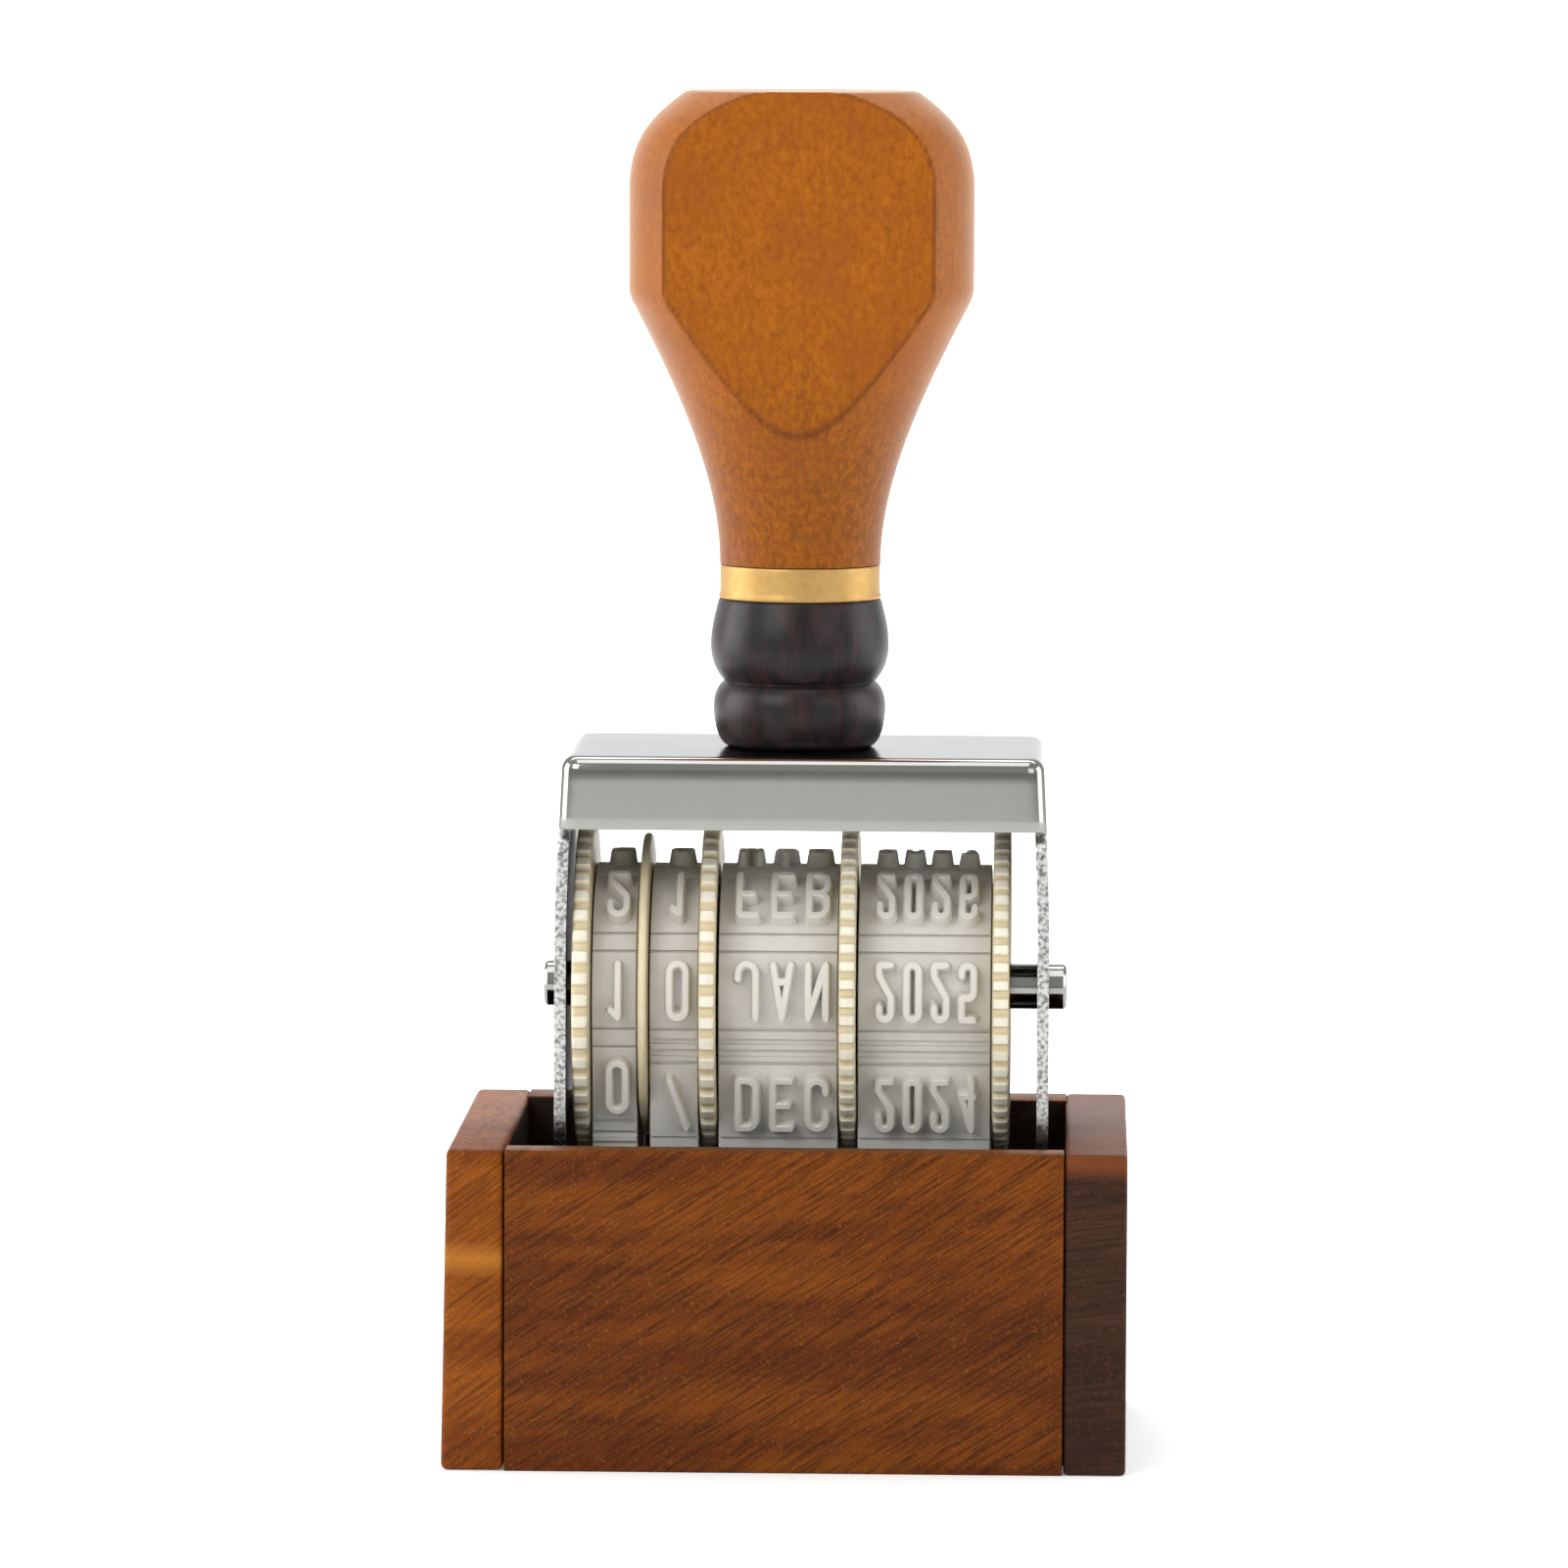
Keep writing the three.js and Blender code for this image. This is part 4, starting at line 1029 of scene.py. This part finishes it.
def thread_tree():
    """A screw thread: one ridge wound up a shank."""
    tree, given = new_tree("screw_thread", Radius="Float", Length="Float", Turns="Float", Ridge="Float")
    spiral = add(tree, "GeometryNodeCurveSpiral", {
        "Resolution": 24, "Rotations": given["Turns"], "Start Radius": given["Radius"],
        "End Radius": given["Radius"], "Height": given["Length"],
    })
    ridge = add(tree, "GeometryNodeCurvePrimitiveCircle", {"Resolution": 3, "Radius": given["Ridge"]})
    wound = add(tree, "GeometryNodeCurveToMesh", {
        "Curve": spiral, "Profile Curve": ridge, "Fill Caps": True,
    })
    return end_tree(tree, wound, given["Material"])


STRIPS = strip_tree()
STROKES = stroke_tree()
RIM = rim_tree()
THREAD = thread_tree()

# ---------------------------------------------------------------- wheels


def wheel(node, band, body, teeth):
    """A thumb wheel: toothed rim, shallow dished face, and the hub that carries its band."""
    low, high = box_mm(node)
    band_low, band_high = box_mm(band)
    band_on_right = band_low.x - low.x > 1
    left = low.x if band_on_right else high.x - WHEEL_THICKNESS
    right = left + WHEEL_THICKNESS
    hub = BAND_RADIUS - 1.5
    rim = WHEEL_RADIUS
    sunk = 0.12
    far = band_high.x if band_on_right else band_low.x
    face = [(rim - 1.3, 0), (rim - 0.8, 0), (rim - 0.35, 0.04), (rim - 0.1, 0.14), (rim, 0.3),
            (rim, 0.7), (rim, 1.1), (rim - 0.1, 1.26), (rim - 0.35, 1.36), (rim - 0.8, 1.4), (rim - 1.3, 1.4)]
    outer, inner, hand = (left, right, 1) if band_on_right else (right, left, -1)
    dish = outer + hand * sunk
    profile = [(BORE, dish), (rim - 1.5, dish)] + [(r, outer + hand * x) for r, x in face]
    profile += [(hub, inner), (hub, far), (BORE, far), (BORE, dish)]
    name = node + "_moulding"
    piece = new_object(name, turned(name, profile, (0, AXIS_Y, AXIS_Z), "X", teeth * 14))
    grown(piece, RIM, Centre=(0, AXIS_Y * MM, AXIS_Z * MM), Rim=rim * MM,
          Depth=TOOTH_DEPTH * MM, Teeth=float(teeth), Land=TOOTH_SHARE, Material=IVORY)
    smooth(piece, 38)
    return finish_piece(piece, body, "ivory_plastic", node)


# Each set: its teeth, and the row whose ribs hide the band's joint
SETS = (
    ("day_tens", DAY_TEETH, 9),
    ("day_units", DAY_TEETH, 8),
    ("month", WIDE_TEETH, 8),
    ("year", WIDE_TEETH, 8),
)
for label, teeth, _ in SETS:
    wheel(label + "_wheel", label + "_band", label + "_setter", teeth)

# ---------------------------------------------------------------- bands and their type


def band_course():
    """The base's outer face as lines and arcs, from the middle of the print face and back to it."""
    edge = PRINT_EDGE_RADIUS
    y0, z0 = PRINT_HALF_DEPTH - edge, PRINT_Z + TYPE_RISE + edge
    rise = AXIS_Z - z0
    lean = math.asin((BAND_RADIUS - edge) / math.hypot(y0, rise)) - math.atan2(y0, rise)
    run = math.sqrt(y0 ** 2 + rise ** 2 - (BAND_RADIUS - edge) ** 2)
    quarter = math.pi / 2
    pieces = [
        ["line", y0, -quarter, None],
        ["arc", edge * (quarter - lean), -quarter, ((y0, z0), edge)],
        ["line", run, -lean, None],
        ["arc", BAND_RADIUS * 2 * (quarter + lean), -lean, ((0, AXIS_Z), BAND_RADIUS)],
        ["line", run, 2 * quarter + lean, None],
        ["arc", edge * (quarter - lean), 2 * quarter + lean, ((-y0, z0), edge)],
        ["line", y0, 3 * quarter, None],
    ]
    start, here = 0.0, (0.0, z0 - edge)
    for piece in pieces:
        piece.append(start)
        if piece[0] == "arc":
            (cy, cz), r = piece[3]
            end = piece[2] + piece[1] / r
            here = (cy + r * math.cos(end), cz + r * math.sin(end))
        else:
            piece[3] = here
            here = (here[0] - piece[1] * math.sin(piece[2]), here[1] + piece[1] * math.cos(piece[2]))
        start += piece[1]
    return pieces, start


COURSE, COURSE_LENGTH = band_course()
ROW_STEP = (COURSE_LENGTH - WIDE_STEP_EXTRA) / ROWS


def course_point(distance, offset):
    """(y, z) at a distance along the course, set off outwards from it."""
    s = distance % COURSE_LENGTH
    piece = [p for p in COURSE if p[4] <= s + 1e-9][-1]
    past = s - piece[4]
    if piece[0] == "arc":
        (cy, cz), r = piece[3]
        turn = piece[2] + past / r
        y, z = cy + r * math.cos(turn), cz + r * math.sin(turn)
    else:
        turn = piece[2]
        y, z = piece[3][0] - past * math.sin(turn), piece[3][1] + past * math.cos(turn)
    return y + offset * math.cos(turn), z + offset * math.sin(turn)


def row_centre(row, joint):
    """Where a row of type is centred; the step after the joint row is wider."""
    return row * ROW_STEP + (WIDE_STEP_EXTRA if row > joint else 0)


def rounded(points, radius, closed=False):
    """A polyline with its corners turned into arcs, as finely stepped points."""
    points = [np.array(p, float) for p in points]
    count = len(points)
    path = []
    for i, corner in enumerate(points):
        if not closed and i in (0, count - 1):
            path.append(corner)
            continue
        back, ahead = points[i - 1] - corner, points[(i + 1) % count] - corner
        back_length, ahead_length = np.linalg.norm(back), np.linalg.norm(ahead)
        back, ahead = back / back_length, ahead / ahead_length
        half = math.acos(np.clip(back @ ahead, -1, 1)) / 2
        # a corner may use half of a side that it shares, and all of a free end
        back_room = back_length * (1.0 if (not closed and i == 1) else 0.5) * 0.999
        ahead_room = ahead_length * (1.0 if (not closed and i == count - 2) else 0.5) * 0.999
        reach = min(radius / math.tan(half), back_room, ahead_room)
        r = reach * math.tan(half)
        centre = corner + (back + ahead) / np.linalg.norm(back + ahead) * r / math.sin(half)
        first, last = corner + back * reach - centre, corner + ahead * reach - centre
        a0, a1 = math.atan2(first[1], first[0]), math.atan2(last[1], last[0])
        sweep = (a1 - a0 + math.pi) % (2 * math.pi) - math.pi
        steps = max(3, math.ceil(abs(sweep) / 0.26))
        for step in range(steps + 1):
            angle = a0 + sweep * step / steps
            path.append(centre + r * np.array([math.cos(angle), math.sin(angle)]))
    kept = [path[0]]
    for point in path[1:]:
        if np.linalg.norm(point - kept[-1]) > 1e-3:
            kept.append(point)
    if closed and np.linalg.norm(kept[0] - kept[-1]) < 1e-3:
        kept.pop()
    return kept


STEM = [(0, 0), (0, 1)]
BOWL = [(0, 1), (1, 1), (1, 0.5), (0, 0.5)]
SIX = [(1, 0.8), (1, 1), (0, 1), (0, 0), (1, 0), (1, 0.56), (0, 0.56)]

# Strokes of each character in its own width and height; one that ends where it begins is a loop
CHARACTERS = {
    "0": [[(0, 0), (1, 0), (1, 1), (0, 1), (0, 0)]],
    "1": [[(0.55, 0), (0.55, 1)], [(0.55, 1), (0.1, 0.86)]],
    "2": [[(0, 0.75), (0, 1), (1, 1), (1, 0.6), (0, 0.2), (0, 0)], [(0, 0), (1, 0)]],
    "3": [[(0, 0.78), (0, 1), (1, 1), (1, 0.53), (0.35, 0.53)],
          [(0.35, 0.53), (1, 0.53), (1, 0), (0, 0), (0, 0.22)]],
    "4": [[(0.8, 0), (0.8, 1)], [(0.8, 1), (0, 0.3)], [(0, 0.3), (1, 0.3)]],
    "5": [[(1, 1), (0, 1)], [(0, 1), (0, 0.58)],
          [(0, 0.58), (1, 0.62), (1, 0), (0, 0), (0, 0.2)]],
    "6": [SIX],
    "7": [[(0, 1), (1, 1)], [(1, 1), (0.35, 0)]],
    "8": [[(0, 0.54), (1, 0.54), (1, 1), (0, 1), (0, 0.54)], [(0, 0), (1, 0), (1, 0.54), (0, 0.54), (0, 0)]],
    "9": [[(1 - x, 1 - y) for x, y in SIX]],
    "A": [[(0, 0), (0.5, 1)], [(0.5, 1), (1, 0)], [(0.17, 0.32), (0.83, 0.32)]],
    "B": [STEM, BOWL, [(0, 0.5), (1, 0.5), (1, 0), (0, 0)]],
    "C": [[(1, 0.75), (1, 1), (0, 1), (0, 0), (1, 0), (1, 0.25)]],
    "D": [STEM, [(0, 1), (1, 1), (1, 0), (0, 0)]],
    "E": [STEM, [(0, 1), (1, 1)], [(0, 0.52), (0.85, 0.52)], [(0, 0), (1, 0)]],
    "F": [STEM, [(0, 1), (1, 1)], [(0, 0.52), (0.8, 0.52)]],
    "G": [[(1, 0.75), (1, 1), (0, 1), (0, 0), (1, 0), (1, 0.42)], [(1, 0.42), (0.5, 0.42)]],
    "J": [[(1, 1), (1, 0), (0, 0), (0, 0.28)]],
    "L": [STEM, [(0, 0), (1, 0)]],
    "M": [STEM, [(0, 1), (0.5, 0.4)], [(0.5, 0.4), (1, 1)], [(1, 1), (1, 0)]],
    "N": [STEM, [(0, 1), (1, 0)], [(1, 0), (1, 1)]],
    "O": [[(0, 0), (1, 0), (1, 1), (0, 1), (0, 0)]],
    "P": [STEM, BOWL],
    "R": [STEM, BOWL, [(0.45, 0.5), (1, 0)]],
    "S": [[(1, 0.78), (1, 1), (0, 1), (0, 0.52), (1, 0.52), (1, 0), (0, 0), (0, 0.22)]],
    "T": [[(0, 1), (1, 1)], [(0.5, 1), (0.5, 0)]],
    "U": [[(0, 1), (0, 0), (1, 0), (1, 1)]],
    "V": [[(0, 1), (0.5, 0)], [(0.5, 0), (1, 1)]],
    "Y": [[(0, 1), (0.5, 0.48)], [(1, 1), (0.5, 0.48)], [(0.5, 0.48), (0.5, 0)]],
    "/": [[(0, 0), (1, 1)]],
    "-": [[(0, 0.5), (1, 0.5)]],
}

MONTHS = ("SEP", "AUG", "JUL", "JUN", "MAY", "APR", "MAR", "FEB", "JAN", "DEC", "NOV", "OCT")
YEARS = ("2033", "2032", "2031", "2030", "2029", "2028", "2027", "2026", "2025", "2024", "2035", "2034")
UNITS = ("8", "7", "6", "5", "4", "3", "2", "1", "0", "/", "-", "9")
TENS = ("", "", "", "0", "1", "2", "3", "2", "1", "0", "", "")

# Each band: its rows of type, a character's width, the pitch and the first character's left margin
TYPE = {
    "day_tens_band": (TENS, 2.3, 0.0, 0.95),
    "day_units_band": (UNITS, 2.3, 0.0, 1.18),
    "month_band": (MONTHS, 2.4, 2.85, 1.15),
    "year_band": (YEARS, 1.95, 2.24, 1.25),
}
CELL = 12.0


def character_solids(keys):
    """Every character that is needed, made once: points, faces, for its key."""
    points, edges = [], []
    for place, (character, width) in enumerate(keys):
        wide, tall = width - 2 * STROKE_BASE, CHARACTER_HEIGHT - 2 * STROKE_BASE
        for stroke in CHARACTERS[character]:
            closed = stroke[0] == stroke[-1]
            corners = [(x * wide, y * tall) for x, y in (stroke[:-1] if closed else stroke)]
            path = rounded(corners, wide / 2, closed)
            first = len(points)
            points += [(place * CELL + STROKE_BASE + x, STROKE_BASE + y, 0) for x, y in path]
            edges += [(first + i, first + i + 1) for i in range(len(path) - 1)]
            if closed:
                edges.append((first + len(path) - 1, first))
    mesh = bpy.data.meshes.new("strokes")
    mesh.from_pydata([Vector(p) * MM for p in points], edges, [])
    piece = new_object("strokes", mesh)
    grown(piece, STROKES, Foot=STROKE_BASE * MM, Crown=STROKE_TOP * MM, Sunk=STROKE_SUNK * MM,
          Rise=TYPE_RISE * MM, Ease=STROKE_EDGE * MM, Material=RUBBER)
    form = bmesh.new()
    form.from_mesh(piece.data)
    for step in range(1, 8):
        height = CHARACTER_HEIGHT * step / 8 * MM
        everything = form.verts[:] + form.edges[:] + form.faces[:]
        bmesh.ops.bisect_plane(form, geom=everything, plane_co=(0, height, 0), plane_no=(0, 1, 0), dist=1e-7)
    bmesh.ops.triangulate(form, faces=[f for f in form.faces if len(f.verts) > 4])
    solids = {key: ([], []) for key in keys}
    index = {}
    for vertex in form.verts:
        cell = int((vertex.co.x / MM + 1.0) // CELL)
        own = solids[keys[cell]][0]
        index[vertex.index] = len(own)
        own.append((vertex.co.x / MM - cell * CELL, vertex.co.y / MM, vertex.co.z / MM))
    for face in form.faces:
        cell = int((face.verts[0].co.x / MM + 1.0) // CELL)
        solids[keys[cell]][1].append([index[v.index] for v in face.verts])
    form.free()
    bpy.data.objects.remove(piece)
    return solids


def strip_along(name, start, end, offset, thickness, width, rounding, closed=False):
    """A strip of the band between two distances along the course, as points and faces."""
    stops = [piece[4] for piece in COURSE] + [piece[4] + piece[1] * k / 24 for piece in COURSE
                                              if piece[0] == "arc" for k in range(1, 24)]
    wrapped = [s + turn * COURSE_LENGTH for s in stops for turn in (-1, 0, 1, 2)]
    inner = sorted(s for s in wrapped if start + 0.05 < s < end - 0.05)
    distances = [start] + inner + ([] if closed else [end])
    path = [course_point(s, offset - thickness / 2) for s in distances]
    mesh = bpy.data.meshes.new(name)
    edges = [(i, i + 1) for i in range(len(path) - 1)] + ([(len(path) - 1, 0)] if closed else [])
    mesh.from_pydata([(y * MM, z * MM, 0) for y, z in path], edges, [])
    piece = new_object(name, mesh)
    grown(piece, STRIPS, Width=width * MM, Thickness=thickness * MM, Rounding=rounding * MM, Material=RUBBER)
    points = [(v.co.z / MM, v.co.x / MM, v.co.y / MM) for v in piece.data.vertices]
    faces = [list(face.vertices) for face in piece.data.polygons]
    bpy.data.objects.remove(piece)
    return points, faces


def band(node, joint, solids):
    """A band: its base loop, the low ribs between rows, and a row of raised type on each panel."""
    low, high = box_mm(node)
    width, middle = high.x - low.x, (low.x + high.x) / 2
    rows, character_width, pitch, margin = TYPE[node]
    points, faces, rise = [], [], []

    def take(some_points, some_faces, heights):
        first = len(points)
        points.extend(some_points)
        faces.extend([[first + i for i in face] for face in some_faces])
        rise.extend(heights)

    def lay(start, end, offset, thickness, narrower, closed=False):
        laid, skin = strip_along("strip", start, end, offset, thickness, width - narrower, 0.12, closed)
        take([(middle + x, y, z) for x, y, z in laid], skin, [0.0] * len(laid))

    lay(0, COURSE_LENGTH, -STRIP_RISE, BASE_THICKNESS - STRIP_RISE, 0, True)
    for row in range(ROWS):
        centre, following = row_centre(row, joint), row_centre(row + 1, joint)
        if row + 1 == ROWS:
            following = COURSE_LENGTH
        half = (ROW_STEP - RIB) / 2 - GROOVE
        lay(centre - half, centre + half, 0.0, STRIP_RISE + 0.2, 0.04)
        gap = (centre + following) / 2
        ribs = [(0.0, RIB)] if row != joint else [(-0.96, 0.65), (0.065, 0.4), (1.085, 0.4)]
        for place, length in ribs:
            lay(gap + place - length / 2, gap + place + length / 2, 0.0, STRIP_RISE + 0.2, 0.04)
        for number, character in enumerate(rows[row]):
            shape, skin = solids[(character, character_width)]
            left = low.x + margin + pitch * number
            bent = []
            for x, up, out in shape:
                y, z = course_point(centre - CHARACTER_HEIGHT / 2 + up, out)
                bent.append((left + x, y, z))
            take(bent, skin, [max(0.0, min(1.0, out / TYPE_RISE)) for _, _, out in shape])
    name = node + "_rubber"
    mesh = bpy.data.meshes.new(name)
    mesh.from_pydata([Vector(p) * MM for p in points], [], faces)
    mesh.attributes.new("rise", "FLOAT", "POINT").data.foreach_set("value", rise)
    form = bmesh.new()
    form.from_mesh(mesh)
    bmesh.ops.recalc_face_normals(form, faces=form.faces)
    form.to_mesh(mesh)
    form.free()
    piece = new_object(name, mesh, RUBBER)
    smooth(piece, 32)
    return finish_piece(piece, "stamp", "grey_rubber", node)


needed = sorted({(character, TYPE[node][1]) for node in TYPE for row in TYPE[node][0] for character in row})
characters = character_solids(needed)
for label, _, joint in SETS:
    band(label + "_band", joint, characters)

# ---------------------------------------------------------------- handle screw and washer


def handle_screw():
    """A pan-headed screw up through the cap and collar, its thread wound round the shank."""
    low, high = box_mm("handle_screw")
    washer_low, washer_high = box_mm("screw_washer")
    seat, tip = washer_low.z, high.z
    head = (high.x - low.x) / 2
    radius = SCREW_RADIUS
    core = radius - RIDGE
    profile = [(0.001, low.z), (head * 0.45, low.z + 0.02), (head * 0.75, low.z + 0.25)]
    profile += [(head * 0.93, low.z + 0.8), (head, low.z + 1.4), (head, seat - 0.1), (head - 0.1, seat)]
    profile += [(core, seat), (core, tip - 3.0), (0.3, tip - 0.1), (0.001, tip)]
    piece = new_object("pan_screw", turned("pan_screw", profile, HANDLE, "Z", 64), STEEL)
    cutter = new_object("slot_cutter", mesh_of("slot_cutter", [
        (HANDLE[0] + x, AXIS_Y + y, z) for x in (-head - 1, head + 1) for y in (-0.45, 0.45)
        for z in (low.z - 1, low.z + 1.1)
    ], BOX_FACES))
    cut = piece.modifiers.new("slot", "BOOLEAN")
    cut.object = cutter
    cut.operation = "DIFFERENCE"
    cut.solver = "EXACT"
    baked(piece)
    bpy.data.objects.remove(cutter)
    smooth(piece, 35)
    finish_piece(piece, "stamp", "plain_steel", "handle_screw")

    seed = bpy.data.meshes.new("screw_ridge")
    seed.from_pydata([(0, 0, 0)], [], [])
    ridge = new_object("screw_ridge", seed)
    start, length = COLLAR_HIGH.z + 1.0, tip - 3.4 - COLLAR_HIGH.z - 1.0
    grown(ridge, THREAD, Radius=core * MM, Length=length * MM, Turns=length / THREAD_PITCH,
          Ridge=RIDGE * MM, Material=STEEL)
    ridge.data.transform(Matrix.Translation(Vector((HANDLE[0], AXIS_Y, start)) * MM))
    smooth(ridge, 35)
    finish_piece(ridge, "stamp", "plain_steel")

    wide = (washer_high.x - washer_low.x) / 2
    under, over = washer_low.z, washer_high.z
    ring = [(SCREW_HOLE, under), (wide - 0.15, under), (wide, under + 0.15)]
    ring += [(wide, over - 0.1), (wide - 0.1, over), (SCREW_HOLE, over), (SCREW_HOLE, under)]
    lathed("plain_washer", ring, HANDLE, "Z", STEEL, "stamp", "plain_steel", "screw_washer", 64)


handle_screw()
